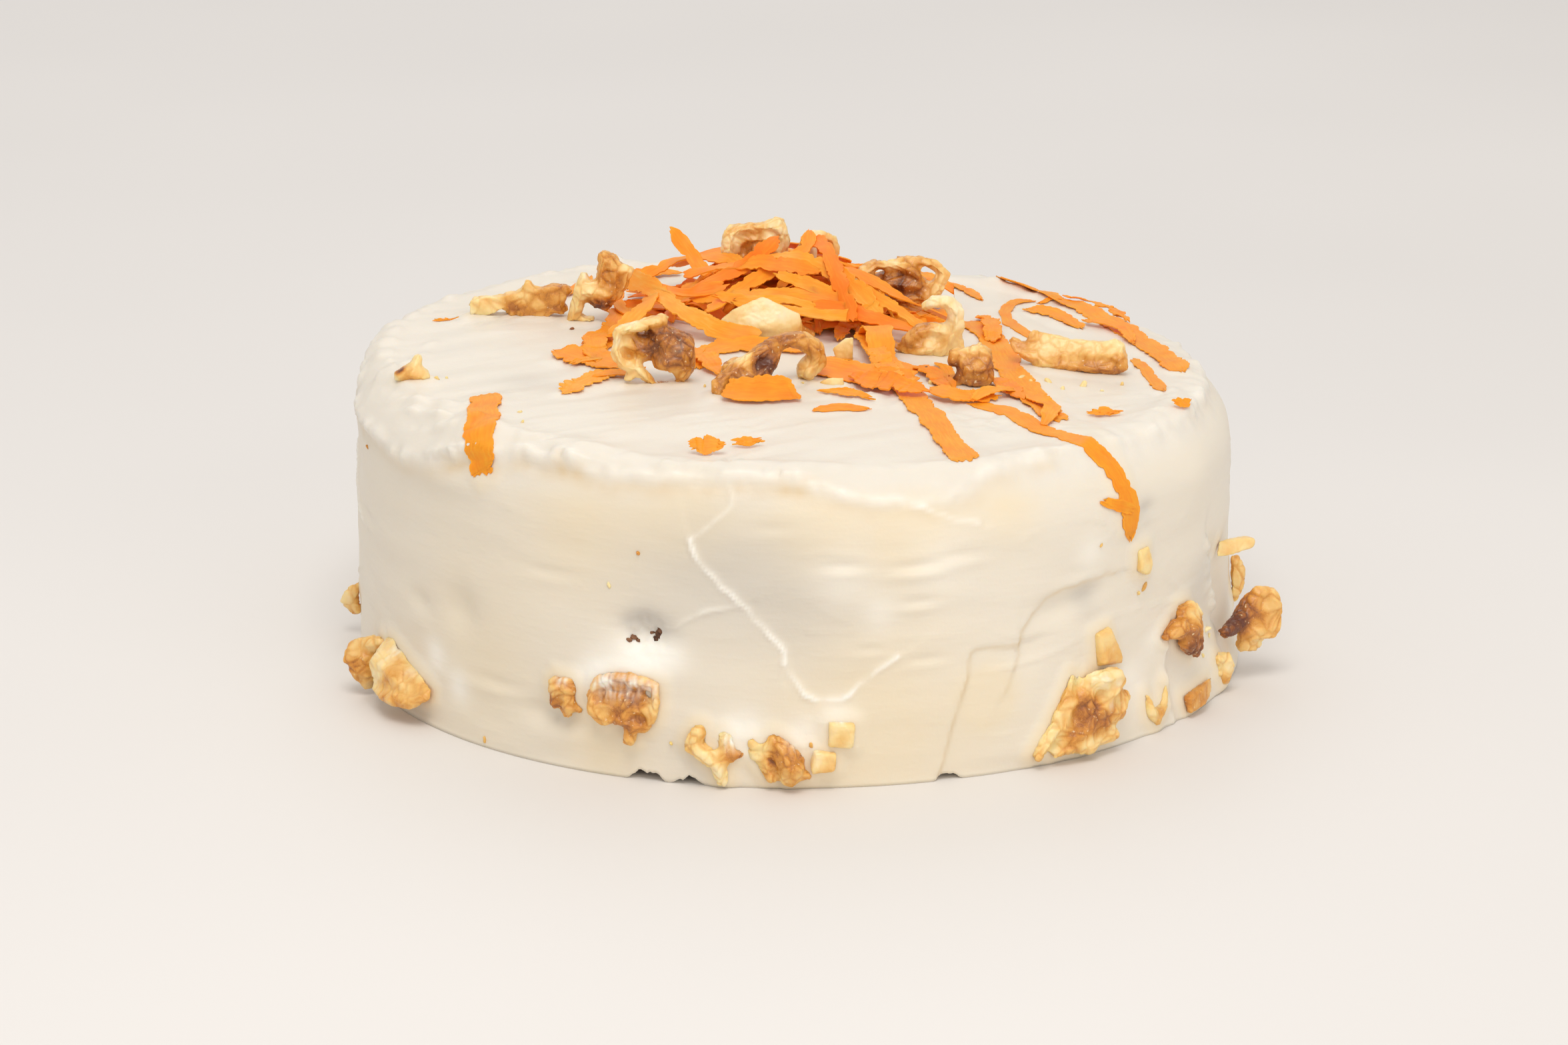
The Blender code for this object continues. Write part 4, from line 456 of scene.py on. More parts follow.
@dataclass(frozen=True)
class WalnutKernelFinish:
    """A walnut kernel: cream flesh where it is broken, a thin oily skin from honey to maroon elsewhere."""

    cream: str = "#FCE9C0"
    straw: str = "#F6D796"
    honey: str = "#EBB868"
    amber: str = "#D6923A"
    brown: str = "#AE6A2A"
    maroon: str = "#66331C"
    frosting: str = "#F6F0E4"
    vein_mm: float = 2.2
    speck_mm: float = 0.9

    def material(self) -> bpy.types.Material:
        """Builds the kernel's material.

        Returns:
            One scale of tones that the painted attribute runs along, with veins, blotches and an oily gloss.
        """
        made = bpy.data.materials.new("walnut_kernel")
        made.use_nodes = True
        shader = made.node_tree.nodes["Principled BSDF"]
        place = add_node(made, "ShaderNodeTexCoord").outputs["Object"]
        tone = add_node(made, "ShaderNodeAttribute", attribute_name="tone").outputs["Fac"]
        blotches = add_node(
            made, "ShaderNodeTexNoise", {"Vector": place, "Scale": 330.0, "Detail": 4.0}
        )
        veins = add_node(
            made,
            "ShaderNodeTexNoise",
            {"Vector": place, "Scale": 1 / (self.vein_mm * MM), "Detail": 4.0, "Distortion": 1.2},
        )
        # A vein is where the noise crosses its middle: a thin dark line in the skin
        off = add_node(
            made, "ShaderNodeMath", {0: veins.outputs["Fac"], 1: 0.5}, operation="SUBTRACT"
        )
        near = add_node(made, "ShaderNodeMath", {0: off.outputs[0]}, operation="ABSOLUTE")
        line = add_node(
            made,
            "ShaderNodeMapRange",
            {"Value": near.outputs[0], "From Min": 0.0, "From Max": 0.045, "To Min": 1.0, "To Max": 0.0},
        )
        skin = add_node(
            made,
            "ShaderNodeMapRange",
            {"Value": tone, "From Min": 0.3, "From Max": 0.7, "To Min": 0.0, "To Max": 0.1},
        )
        lines = add_node(
            made,
            "ShaderNodeMath",
            {0: line.outputs["Result"], 1: skin.outputs["Result"], 2: tone},
            operation="MULTIPLY_ADD",
        )
        spread = add_node(
            made,
            "ShaderNodeMath",
            {0: blotches.outputs["Fac"], 1: 0.30, 2: lines.outputs[0]},
            operation="MULTIPLY_ADD",
        )
        level = add_node(
            made, "ShaderNodeMath", {0: spread.outputs[0], 1: 0.15}, operation="SUBTRACT"
        )
        ramp = add_node(
            made,
            "ShaderNodeValToRGB",
            {"Fac": level.outputs[0]},
            stops=(
                (0.0, self.cream),
                (0.22, self.straw),
                (0.42, self.honey),
                (0.60, self.amber),
                (0.78, self.brown),
                (1.0, self.maroon),
            ),
        )
        # Crumbs of pale flesh that stick to the brown skin
        dots = add_node(
            made,
            "ShaderNodeTexNoise",
            {"Vector": place, "Scale": 1 / (self.speck_mm * MM), "Detail": 1.0},
        )
        dotted = add_node(
            made,
            "ShaderNodeMapRange",
            {"Value": dots.outputs["Fac"], "From Min": 0.68, "From Max": 0.78, "To Min": 0.0, "To Max": 0.7},
        )
        browned = add_node(
            made,
            "ShaderNodeMapRange",
            {"Value": tone, "From Min": 0.45, "From Max": 0.62, "To Min": 0.0, "To Max": 1.0},
        )
        both = add_node(
            made,
            "ShaderNodeMath",
            {0: dotted.outputs["Result"], 1: browned.outputs["Result"]},
            operation="MULTIPLY",
        )
        speckled = add_node(made, "ShaderNodeMix", {"Factor": both.outputs[0]}, data_type="RGBA")
        made.node_tree.links.new(ramp.outputs["Color"], speckled.inputs["A"])
        speckled.inputs["B"].default_value = linear(self.cream)
        smear = add_node(made, "ShaderNodeAttribute", attribute_name="cream").outputs["Fac"]
        colour = add_node(made, "ShaderNodeMix", {"Factor": smear}, data_type="RGBA")
        made.node_tree.links.new(speckled.outputs["Result"], colour.inputs["A"])
        colour.inputs["B"].default_value = linear(self.frosting)
        made.node_tree.links.new(colour.outputs["Result"], shader.inputs["Base Color"])
        rough = add_node(
            made,
            "ShaderNodeBump",
            {"Strength": 0.45, "Distance": 0.3 * MM, "Height": veins.outputs["Fac"]},
        )
        fine = add_node(
            made,
            "ShaderNodeBump",
            {
                "Strength": 0.35,
                "Distance": 0.15 * MM,
                "Height": blotches.outputs["Fac"],
                "Normal": rough.outputs["Normal"],
            },
        )
        made.node_tree.links.new(fine.outputs["Normal"], shader.inputs["Normal"])
        shader.inputs["Roughness"].default_value = 0.36
        shader.inputs["IOR"].default_value = 1.47
        shader.inputs["Coat Weight"].default_value = 0.15
        shader.inputs["Coat Roughness"].default_value = 0.25
        shader.inputs["Subsurface Weight"].default_value = 0.35
        shader.inputs["Subsurface Radius"].default_value = (1.0, 0.55, 0.22)
        shader.inputs["Subsurface Scale"].default_value = 1.8 * MM
        return made


@dataclass(frozen=True)
class BakedSponge:
    """Baked carrot sponge: a dark, open, moist crumb."""

    crust: str = "#8E6346"
    crumb: str = "#4E3020"
    crumb_mm: float = 1.6

    def material(self) -> bpy.types.Material:
        """Builds the sponge's material.

        Returns:
            Two browns in patches the size of a crumb, rough all over.
        """
        made = bpy.data.materials.new("baked_carrot_sponge")
        made.use_nodes = True
        shader = made.node_tree.nodes["Principled BSDF"]
        place = add_node(made, "ShaderNodeTexCoord").outputs["Object"]
        crumbs = add_node(
            made,
            "ShaderNodeTexNoise",
            {"Vector": place, "Scale": 1 / (self.crumb_mm * MM), "Detail": 4.0},
        )
        tone = add_node(
            made,
            "ShaderNodeValToRGB",
            {"Fac": crumbs.outputs["Fac"]},
            stops=((0.35, self.crumb), (0.7, self.crust)),
        )
        made.node_tree.links.new(tone.outputs["Color"], shader.inputs["Base Color"])
        rough = add_node(
            made,
            "ShaderNodeBump",
            {"Strength": 0.8, "Distance": 0.8 * MM, "Height": crumbs.outputs["Fac"]},
        )
        made.node_tree.links.new(rough.outputs["Normal"], shader.inputs["Normal"])
        shader.inputs["Roughness"].default_value = 0.85
        return made


@dataclass(frozen=True)
class PaintedFloor:
    """A plain painted studio floor: pale and matt."""

    colour: str = "#E3E0DE"

    def material(self) -> bpy.types.Material:
        """Builds the floor's material."""
        made = bpy.data.materials.new("painted_studio_floor")
        made.use_nodes = True
        shader = made.node_tree.nodes["Principled BSDF"]
        place = add_node(made, "ShaderNodeTexCoord").outputs["Object"]
        clouds = add_node(made, "ShaderNodeTexNoise", {"Vector": place, "Scale": 3.0})
        tone = add_node(
            made,
            "ShaderNodeValToRGB",
            {"Fac": clouds.outputs["Fac"]},
            stops=((0.3, self.colour), (0.7, "#E7E4E2")),
        )
        made.node_tree.links.new(tone.outputs["Color"], shader.inputs["Base Color"])
        shader.inputs["Roughness"].default_value = 0.6
        return made


# ---------------------------------------------------------------- the coat


@dataclass(frozen=True)
class Dent:
    """A dent or a swell in the side: angle and height, half length and half height, depth in mm.

    lip raises the coat just under the dent, as a spatula's tip does.
    """

    angle: float
    height: float
    half_length: float
    half_height: float
    depth: float
    lip: float = 0.0


@dataclass(frozen=True)
class Edge:
    """A line in the coat: its points in mm, the height and half width of its ridge, and its step.

    A positive step lowers the coat on the left of the line as seen from outside, going along it. bright is
    the painted highlight along the line, and fold the painted shade in the fold beside it, or under it for a crest.
    and fold are how much whiter the line is and how deep its shaded fold.
    """

    points: Route
    height: float
    width: float
    step: float = 0.0
    bright: float = 0.0
    fold: float = 0.0
    reach: float = 7.0


@dataclass(frozen=True)
class Tint:
    """A place where the coat's colour changes: its middle, its reach in mm and how much."""

    place: Point
    reach: float
    amount: float


DENTS = (
    Dent(-18.7, 32.8, 5.5, 4.0, -3.2, 0.3),
    Dent(-31.0, 11.6, 7.5, 2.6, -1.6, 0.3),
    Dent(-46.0, 30.0, 5.0, 5.0, -1.8),
    Dent(34.0, 35.0, 6.0, 3.0, -1.5),
    Dent(72.0, 22.0, 6.0, 11.0, -3.0),
    Dent(28.0, 16.0, 16.0, 15.0, 1.2),
    Dent(3.0, 47.0, 34.0, 9.0, 0.9),
    Dent(-50.0, 60.0, 16.0, 4.0, 1.4),
    Dent(62.0, 55.0, 10.0, 7.0, 1.2),
    Dent(128.0, 30.0, 14.0, 6.0, -1.6),
    Dent(165.0, 42.0, 26.0, 8.0, 1.2),
    Dent(205.0, 24.0, 9.0, 6.0, -1.8),
    Dent(248.0, 38.0, 20.0, 9.0, 1.2),
    Dent(276.0, 50.0, 10.0, 5.0, -1.3),
    Dent(5.8, 50.0, 4.5, 1.1, -0.6, 0.4),
    Dent(14.7, 49.0, 6.0, 1.2, -0.8, 0.5),
    Dent(20.2, 50.5, 6.0, 1.2, -0.4, 0.3),
    Dent(15.0, 41.0, 4.0, 1.0, -0.5, 0.4),
    Dent(9.1, 31.0, 3.0, 0.8, -0.4, 0.2),
    Dent(16.0, 28.0, 4.0, 1.0, -0.4, 0.3),
    Dent(-2.5, 58.0, 5.0, 1.0, -0.5, 0.1),
    Dent(38.7, 36.5, 4.6, 2.0, -1.0, 0.4),
    Dent(37.0, 42.0, 6.0, 1.6, -0.3, 0.3),
    Dent(48.9, 52.0, 3.0, 1.4, -0.7, 0.2),
    Dent(-54.8, 28.5, 3.6, 2.6, -1.1, 0.3),
    Dent(-31.6, 44.0, 7.0, 1.2, -0.4, 0.2),
    Dent(-40.0, 16.0, 8.0, 1.4, -0.5, 0.3),
    Dent(100.0, 46.0, 7.0, 1.3, -0.6, 0.4),
    Dent(140.0, 52.0, 6.0, 1.2, -0.6, 0.4),
    Dent(176.0, 33.0, 7.0, 1.4, -0.6, 0.4),
    Dent(190.0, 52.0, 5.0, 1.1, -0.5, 0.3),
    Dent(226.0, 47.0, 7.0, 1.3, -0.7, 0.4),
    Dent(262.0, 30.0, 6.0, 1.2, -0.5, 0.4),
    Dent(288.0, 40.0, 6.0, 1.3, -0.6, 0.3),
)

EDGES = (
    # The front: a thin raised line that runs down from the rim, and its branch
    Edge(((-14, -96, 66), (-13, -99, 63), (-17, -100, 59), (-22, -99, 55)), 0.25, 0.6, 0.0, 0.3),
    Edge(((-22, -99, 55), (-20, -100, 50), (-12, -101, 42), (-3, -101, 32), (-2, -101, 28)), 0.5, 0.6, 0.3, 0.9),
    Edge(((-2, -101, 28), (3, -102, 21), (10, -101, 20), (15, -101, 24), (22, -100, 29)), 0.45, 0.7, 0.3, 0.8),
    Edge(((-12, -101, 41), (-19, -100, 39), (-23, -99, 37), (-27, -97, 35)), 0.4, 0.6, 0.3, 0.6),
    Edge(((25, -97, 62), (32, -95, 59), (39, -93, 57)), 0.4, 0.8, 0.3, 0.6),
    # The crest where the top's cream was pulled over the side
    Edge(((-97, -29, 62), (-93, -39, 62), (-83, -59, 61), (-73, -69, 65)), 1.3, 1.7, -1.1, 0.4, 0.25),
    Edge(((-73, -69, 65), (-61, -76, 66), (-57, -78, 68), (-55, -80, 67), (-47, -84, 67)), 1.5, 1.3, -1.6, 0.4, 0.5),
    Edge(((-47, -84, 67), (-41, -88, 66), (-29, -92, 66), (-11, -95, 67), (0, -96, 67)), 0.8, 1.1, -1.0, 0.45, 0.45),
    Edge(((0, -96, 67), (12, -98, 64), (25, -96, 62), (34, -92, 62), (41, -85, 65), (53, -76, 66)), 0.7, 1.3, -0.9, 0.5, 0.3),
    Edge(((53, -76, 66), (65, -65, 66), (78, -52, 64), (88, -34, 64)), 0.7, 1.6, -0.7, 0.3),
    # Swirls pulled round the left of the top
    Edge(((-86, -40, 68), (-80, -46, 69), (-74, -50, 70)), 0.7, 1.2, 0.4, 0.2),
    Edge(((-84, -46, 67), (-78, -53, 68), (-72, -58, 69)), 0.8, 1.1, 0.5, 0.2),
    Edge(((-80, -56, 66), (-75, -60, 67), (-70, -62, 69), (-68, -58, 70)), 0.8, 1.3, 0.5, 0.2),
    Edge(((-92, -22, 68), (-86, -12, 70), (-84, 2, 71)), 0.7, 1.4, 0.4, 0.2),
    # The right: the layered edge of a flap
    Edge(((70, -74, 40), (57, -84, 39), (49, -89, 33), (48, -90, 29)), 0.35, 0.7, 0.5, 0.0, 0.6),
    Edge(((48, -90, 29), (38, -95, 29), (37, -95, 24), (34, -96, 14), (32, -97, 6), (31, -97, 2)), 0.35, 0.6, 0.5, 0.0, 0.6),
    Edge(((48, -90, 29), (48, -91, 26), (46, -92, 21), (45, -92, 19)), 0.2, 0.8, 0.25, 0.0, 0.35),
    Edge(((82, -59, 18), (83, -61, 8), (84, -60, 1)), 0.9, 1.6, 0.5, 0.4),
    Edge(((92, -42, 36), (93, -40, 26), (96, -34, 17)), 1.4, 1.8, 0.8, 0.3),
    # The back and the left, spread by the same hand
    Edge(((98, 20, 50), (92, 42, 44), (84, 56, 33), (80, 62, 24)), 0.6, 0.9, 0.3, 0.8),
    Edge(((60, 82, 14), (48, 89, 20), (34, 95, 30), (18, 100, 34)), 0.4, 0.9, 0.5, 0.0, 0.7),
    Edge(((-10, 101, 50), (-30, 97, 45), (-44, 91, 36), (-50, 88, 24)), 0.6, 0.9, 0.3, 0.8),
    Edge(((-74, 69, 12), (-82, 60, 22), (-90, 47, 27), (-97, 30, 28)), 0.4, 1.0, 0.5, 0.0, 0.7),
    Edge(((-100, 16, 52), (-101, 2, 47), (-100, -14, 40), (-97, -28, 36)), 0.5, 0.9, 0.3, 0.7),
    Edge(((88, -34, 64), (96, 0, 65), (94, 28, 66), (85, 48, 65), (70, 68, 66), (48, 84, 68)), 0.9, 1.6, -0.8, 0.4, 0.15),
    Edge(((48, 84, 68), (30, 92, 68), (6, 97, 68), (-20, 95, 69), (-44, 86, 70)), 1.0, 1.4, -1.0, 0.5, 0.25),
    Edge(((-44, 86, 70), (-62, 75, 70), (-78, 58, 70), (-92, 33, 68), (-97, 4, 66), (-97, -29, 62)), 1.1, 1.6, -1.0, 0.4, 0.2),
)

# Greyer where the cream is scraped thin over the sponge, and painted shade by the vertical flap at the right
THIN_CREAM_AND_FLAP_SHADE = (
    Tint((-10, -101, 52), 15, 0.35),
    Tint((-24, -98, 46), 15, 0.3),
    Tint((2, -101, 40), 14, 0.3),
    Tint((-31.5, -96, 35.5), 3.4, 1.0),
    Tint((-35, -95, 34.5), 2.6, 0.8),
    Tint((-27, -96, 34), 3.6, 0.6),
    Tint((63, -79, 36), 4, 0.6),
    Tint((77, -67, 52), 3, 0.6),
    # painted shade beside the vertical flap at the right, here and in the next spot
    Tint((90, -46, 27), 7, 0.55),
    Tint((94, -40, 32), 5, 0.4),
    Tint((-60, -30, 71), 7, 0.4),
    Tint((-50, -87, 12), 4, 0.3),
    Tint((-23, -98, 6), 5, 0.25),
    Tint((98, 22, 30), 16, 0.3),
    Tint((60, 82, 44), 18, 0.3),
    Tint((-20, 100, 30), 18, 0.3),
    Tint((-80, 62, 46), 16, 0.3),
    Tint((-99, 20, 22), 14, 0.3),
)

# Painted warmer bounce light low on the side and back, and painted shade in the band just under the front crest
WARM_BOUNCE_AND_CREST_SHADE = (
    Tint((-45, -90, 56), 14, 0.3),
    Tint((-70, -74, 20), 20, 0.25),
    Tint((-40, -93, 8), 10, 0.35),
    Tint((42, -94, 18), 6, 0.6),
    Tint((14, -101, 10), 22, 0.35),
    # painted shade under the front crest
    Tint((-22, -99, 61), 11, 0.45),
    Tint((2, -101, 60), 11, 0.4),
    Tint((24, -98, 56), 10, 0.4),
    Tint((46, -91, 60), 8, 0.3),
    Tint((90, 46, 18), 20, 0.3),
    Tint((10, 101, 14), 22, 0.3),
    Tint((-88, 50, 30), 20, 0.3),
)

# Clean white cream that was pushed up round the kernels of the side, and a painted highlight on the lower lip of the
# dent
WHITE_CREAM_AND_LIP_HIGHLIGHT = (
    Tint((-80, -63, 17), 4, 0.9),
    Tint((-74, -69, 12), 4, 0.8),
    Tint((-43, -91, 23), 4, 0.8),
    Tint((-37, -94, 25), 7, 0.8),
    Tint((-31.5, -96, 29.5), 4.5, 0.9),
    Tint((-26, -98, 28.5), 4, 0.7),
    Tint((-11, -101, 13), 5, 0.8),
    Tint((2, -102, 13), 4, 0.7),
    Tint((9, -101, 17), 4, 0.5),
    Tint((64, -79, 46), 4, 0.5),
    Tint((74, -70, 14), 5, 0.5),
    Tint((80, -63, 21), 4, 0.5),
    Tint((30, -97, 49), 7, 0.4),
    Tint((10, -101, 47), 6, 0.4),
    Tint((18, -100, 39), 4, 0.5),
)

# Notches at the foot where the coat stops short: angle, half width and height in mm
NOTCHES = (
    (-18.2, 3.4, 2.3),
    (-12.9, 2.9, 1.7),
    (-67.0, 6.0, 3.4),
    (19.0, 2.5, 1.2),
    (118.0, 3.6, 1.8),
    (196.0, 5.0, 2.6),
    (258.0, 3.2, 1.6),
)


@dataclass
class CreamCoat:
    """The hand-spread coat: an upright side, a soft rim and a top that leans down to the right."""

    wall_radius: float = 101.5 * MM
    top_height: float = 69.0 * MM
    top_slope: float = 0.035
    dome: float = 1.6 * MM
    inset_left: float = 11.0 * MM
    inset_right: float = 16.0 * MM
    rim_drop: float = 14.0 * MM
    foot_flare: float = 2.8 * MM
    foot_height: float = 11.0 * MM
    rim_ridge: float = 1.1 * MM
    inner_radius: float = 96.0 * MM
    inner_height: float = 59.5 * MM
    inner_round: float = 5.0 * MM
    wave_spacing: float = 38.0
    wave_depth: float = 1.0
    sides: int = 600
    front_share: float = 0.4
    wall_rows: int = 76
    rim_rows: int = 26
    lip_reach: float = 3.4 * MM
    lip_height: float = 0.9 * MM
    tree: BVHTree | None = field(default=None, repr=False)

    def turn_at(self, column: float) -> float:
        """The angle of a column from -1 to 1, closer together at the front than at the back."""
        return math.pi * column - self.front_share * math.sin(math.pi * column)

    def top_at(self, x: float, y: float) -> float:
        """Height of the smooth top over a point."""
        inner = min(1.0, math.hypot(x, y) / self.wall_radius)
        return self.top_height - self.top_slope * x + self.dome * (0.5 - inner * inner)

    def inset_at(self, angle: float) -> float:
        """How far the rounded rim reaches in."""
        return self.inset_left + (self.inset_right - self.inset_left) * (0.5 + 0.5 * math.sin(angle))

    def low_at(self, angle: float) -> float:
        """Height of the coat's ragged lower edge."""
        low = 0.0
        for turn, half, height in NOTCHES:
            across = math.remainder(angle - math.radians(turn), math.tau) * self.wall_radius / (half * MM)
            low = max(low, height * MM * bump(across * across))
        ragged = noise.noise(direction(angle) * 90) + noise.noise(direction(angle) * 200)
        return low * (1 + 0.5 * ragged)

    def place_at(self, angle: float, share: float) -> tuple[Vector, Vector, float]:
        """A place on the plain side or rim.

        Args:
            angle: round the cake, in radians.
            share: 0 at the foot, 1 where the rim starts and 2 where the top starts.

        Returns:
            The place, the way out of the coat there and the share of the CAD rim ridge.
        """
        out = direction(angle)
        inset = self.inset_at(angle)
        crown = out * (self.wall_radius - inset)
        wall_top = self.top_at(crown.x, crown.y) - self.rim_drop
        if share <= 1.0:
            low = self.low_at(angle)
            height = low + (wall_top - low) * share
            spread = self.foot_flare * bump((angle - math.radians(75)) / 0.7) * bump(height / self.foot_height)
            return out * (self.wall_radius + spread) + Vector((0, 0, height)), out, 0.0
        turn = (share - 1.0) * math.pi / 2
        base = out * (self.wall_radius - inset + inset * math.cos(turn))
        base.z = wall_top + self.rim_drop * math.sin(turn)
        normal = (out * math.cos(turn) + Vector((0, 0, math.sin(turn)))).normalized()
        # The ridge ends where the top starts, so that side and top meet
        end = min(1.0, (2.0 - share) / 0.12)
        return base, normal, bump((share - 1.75) / 0.22) * end

    def top_place(self, x: float, y: float) -> Vector:
        """A place on the plain top, from a square that is wrapped onto the disc."""
        if abs(x) < 1e-9 and abs(y) < 1e-9:
            return Vector((0, 0, self.top_at(0, 0)))
        if abs(x) >= abs(y):
            reach, angle = abs(x), math.pi / 4 * y / x + (0 if x > 0 else math.pi)
        else:
            reach, angle = abs(y), math.pi / 2 - math.pi / 4 * x / y + (0 if y > 0 else math.pi)
        turned = self.turn_at(math.atan2(math.cos(angle), -math.sin(angle)) / math.pi)
        crown = direction(turned) * (self.wall_radius - self.inset_at(turned)) * reach
        return Vector((crown.x, crown.y, self.top_at(crown.x, crown.y)))

    def strokes(self, place: Vector, flat: float) -> float:
        """Height in mm of the spatula's strokes.

        Args:
            place: in mm.
            flat: 0 on the side, 1 on the top.

        Returns:
            Long level strokes on the side and slanted ones on the top, with thin creases between them.
        """
        total = 0.0
        if flat < 1.0:
            bent = place + Vector((0, 0, 5 * noise.noise(place / 30)))
            level = Vector((bent.x / 26, bent.y / 26, bent.z / 7))
            long = noise.noise(level)
            crease = max(0.0, 1 - abs(noise.noise(level * 0.8 + Vector((9, 4, 2)))) / 0.05)
            some = max(0.0, noise.noise(place / 17 + Vector((3, 3, 3))))
            total += (1 - flat) * (0.34 * long + 0.6 * crease * some)
        if flat > 0.0:
            across = 0.8 * place.x + 0.6 * place.y + 6 * noise.noise(place / 34)
            along = -0.6 * place.x + 0.8 * place.y
            sweep = Vector((across / 26, along / 7, 5.0))
            crease = max(0.0, 1 - abs(noise.noise(sweep * 1.6 + Vector((1, 7, 2)))) / 0.07)
            some = max(0.0, 0.2 + noise.noise(place / 21))
            fine = noise.noise(Vector((across / 9, along / 2.4, 1.0)))
            total += flat * (0.45 * noise.noise(sweep) + 0.55 * crease * some + 0.22 * fine * (0.4 + some))
        return total

    def rim_lumps(self, place: Vector, ridge: float) -> float:
        """Height in mm of the torn, pulled cream along the rim, strongest at the left front."""
        if ridge < 0.02:
            return 0.0
        left = 0.4 + 0.6 * max(0.0, min(1.0, abs(place.x - 15) / 60))
        torn = max(0.0, noise.noise(Vector((place.x / 4, place.y / 4, place.z / 2.4))))
        lumps = noise.noise(place / 7) * 1.0 + noise.noise(place / 3.4) * 0.5 + 0.9 * torn
        return ridge * left * lumps

    def line_relief(self, points: np.ndarray, normals: np.ndarray) -> tuple[np.ndarray, np.ndarray, np.ndarray]:
        """What the thin lines and flap edges do at each point.

        Args:
            points: places on the coat in mm.
            normals: the way out of the coat there.

        Returns:
            The added height in mm, the painted highlight along each line and the painted shade in the fold beside or
            under it.
        """
        total, bright, folded = (np.zeros(len(points)) for _ in range(3))
        for edge in EDGES:
            nearest = np.full(len(points), 1e9)
            side = np.zeros(len(points))
            path = smooth_path([Vector(p) for p in edge.points], 2.5)
            for k in range(1, len(path) - 1):
                wobble = noise.noise_vector(path[k] / 3.0) * 0.7
                path[k] = path[k] + wobble
            for start, end in zip(path, path[1:]):
                a, b = np.array(start), np.array(end)
                span = b - a
                share = np.clip((points - a) @ span / (span @ span), 0, 1)
                away = points - (a + share[:, None] * span)
                # Only the distance along the surface counts
                away -= normals * np.sum(away * normals, axis=1)[:, None]
                gap = np.linalg.norm(away, axis=1)
                turned = np.sum(np.cross(span, away) * normals, axis=1)
                closer = gap < nearest
                nearest = np.where(closer, gap, nearest)
                side = np.where(closer, np.sign(turned), side)
            near = np.linalg.norm(points - np.array(path[len(path) // 2]), axis=1) < 90
            ridge = np.exp(-((nearest / edge.width) ** 2))
            fade = np.exp(-((nearest / edge.reach) ** 2))
            uneven = np.zeros(len(points))
            for i in np.nonzero(near & (nearest < edge.reach))[0]:
                place = Vector(points[i])
                uneven[i] = max(0.15, 0.75 + 1.1 * noise.noise(place / 6) + 0.5 * noise.noise(place / 2.2))
            lowered = 0.5 * (1 + np.tanh(side * nearest / edge.width))
            total += np.where(near, (edge.height * ridge * uneven - edge.step * lowered * fade), 0.0)
            # Painted highlight: a thin one along a line, the whole ridge along a crest
            thin = np.exp(-((nearest / min(edge.width, 0.5)) ** 2)) if edge.step >= 0 else ridge
            bright += np.where(near, edge.bright * thin * uneven, 0.0)
            # Painted shade: a narrow one beside the lowered side of a line, a wider band under a crest
            low_side = side * math.copysign(1.0, edge.step or 1.0) > 0
            below = np.exp(-(((nearest - 0.5) / 0.55) ** 2)) * low_side
            if edge.step < 0:
                below = np.exp(-(((nearest - 2.4) / 1.8) ** 2)) * low_side
            folded += np.where(near, edge.fold * below * (0.4 + 0.6 * uneven), 0.0)
        return total, bright, folded

    def dent_relief(self, points: np.ndarray) -> np.ndarray:
        """Height in mm that dents and swells add at each point."""
        total = np.zeros(len(points))
        angles = np.arctan2(points[:, 0], -points[:, 1])
        for dent in DENTS:
            turned = (angles - math.radians(dent.angle) + math.pi) % math.tau - math.pi
            along = turned * self.wall_radius / MM / dent.half_length
            up = (points[:, 2] - dent.height) / dent.half_height
            total += dent.depth * np.exp(-(along**2) - up**2)
            total += dent.lip * np.exp(-((along * 0.9) ** 2) - (up + 1.7) ** 2)
            if dent.depth < -3.0 and dent.lip > 0:
                # The deepest dent was scraped open, so its floor is torn
                for i in np.nonzero(np.exp(-(along**2) - up**2) > 0.1)[0]:
                    torn = noise.noise(Vector(points[i]) / 1.6)
                    total[i] += 0.9 * torn * math.exp(-(along[i] ** 2) - up[i] ** 2)
        foot = np.minimum(1.0, points[:, 2] / 4)
        return total * foot * (np.hypot(points[:, 0], points[:, 1]) > 80)

    def lips(self, points: np.ndarray, carried: dict[str, BVHTree], boxes: dict) -> np.ndarray:
        """Height in metres that the cream rises where toppings are pressed into it."""
        rise = np.zeros(len(points))
        for name, tree in carried.items():
            low, high = boxes[name]
            inside = np.all((points > np.array(low) - self.lip_reach) & (points < np.array(high) + self.lip_reach), axis=1)
            strength = 1.0 if name.startswith("walnut") else 0.55
            for i in np.nonzero(inside)[0]:
                away = tree.find_nearest(Vector(points[i]), self.lip_reach)[3]
                if away is not None:
                    ease = 1 - away / self.lip_reach
                    rise[i] = max(rise[i], strength * self.lip_height * ease * ease * (3 - 2 * ease))
        return rise

    def build(self, frame: dict) -> bpy.types.Object:
        """Models the coat.

        Args:
            frame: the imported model.

        Returns:
            The coat's piece, a closed shell that is open below for the sponge.
        """
        wall = new_grid("coat_wall", self.sides, self.wall_rows + self.rim_rows)
        flat_points = read_points(wall.data)
        rows = self.wall_rows + self.rim_rows
        bases, normals, ridges, flats = [], [], [], []
        for x, y, _ in flat_points:
            row = (y + 1) / 2 * rows
            share = row / self.wall_rows if row <= self.wall_rows else 1 + (row - self.wall_rows) / self.rim_rows
            base, normal, ridge = self.place_at(self.turn_at(x), share)
            bases.append(base)
            normals.append(normal)
            ridges.append(ridge)
            flats.append(max(0.0, min(1.0, (share - 1.3) / 0.7)))
        write_points(wall.data, np.array(bases))

        disc = new_grid("coat_top", self.sides // 4, self.sides // 4)
        top = [self.top_place(x, y) for x, y, _ in read_points(disc.data)]
        write_points(disc.data, np.array(top))

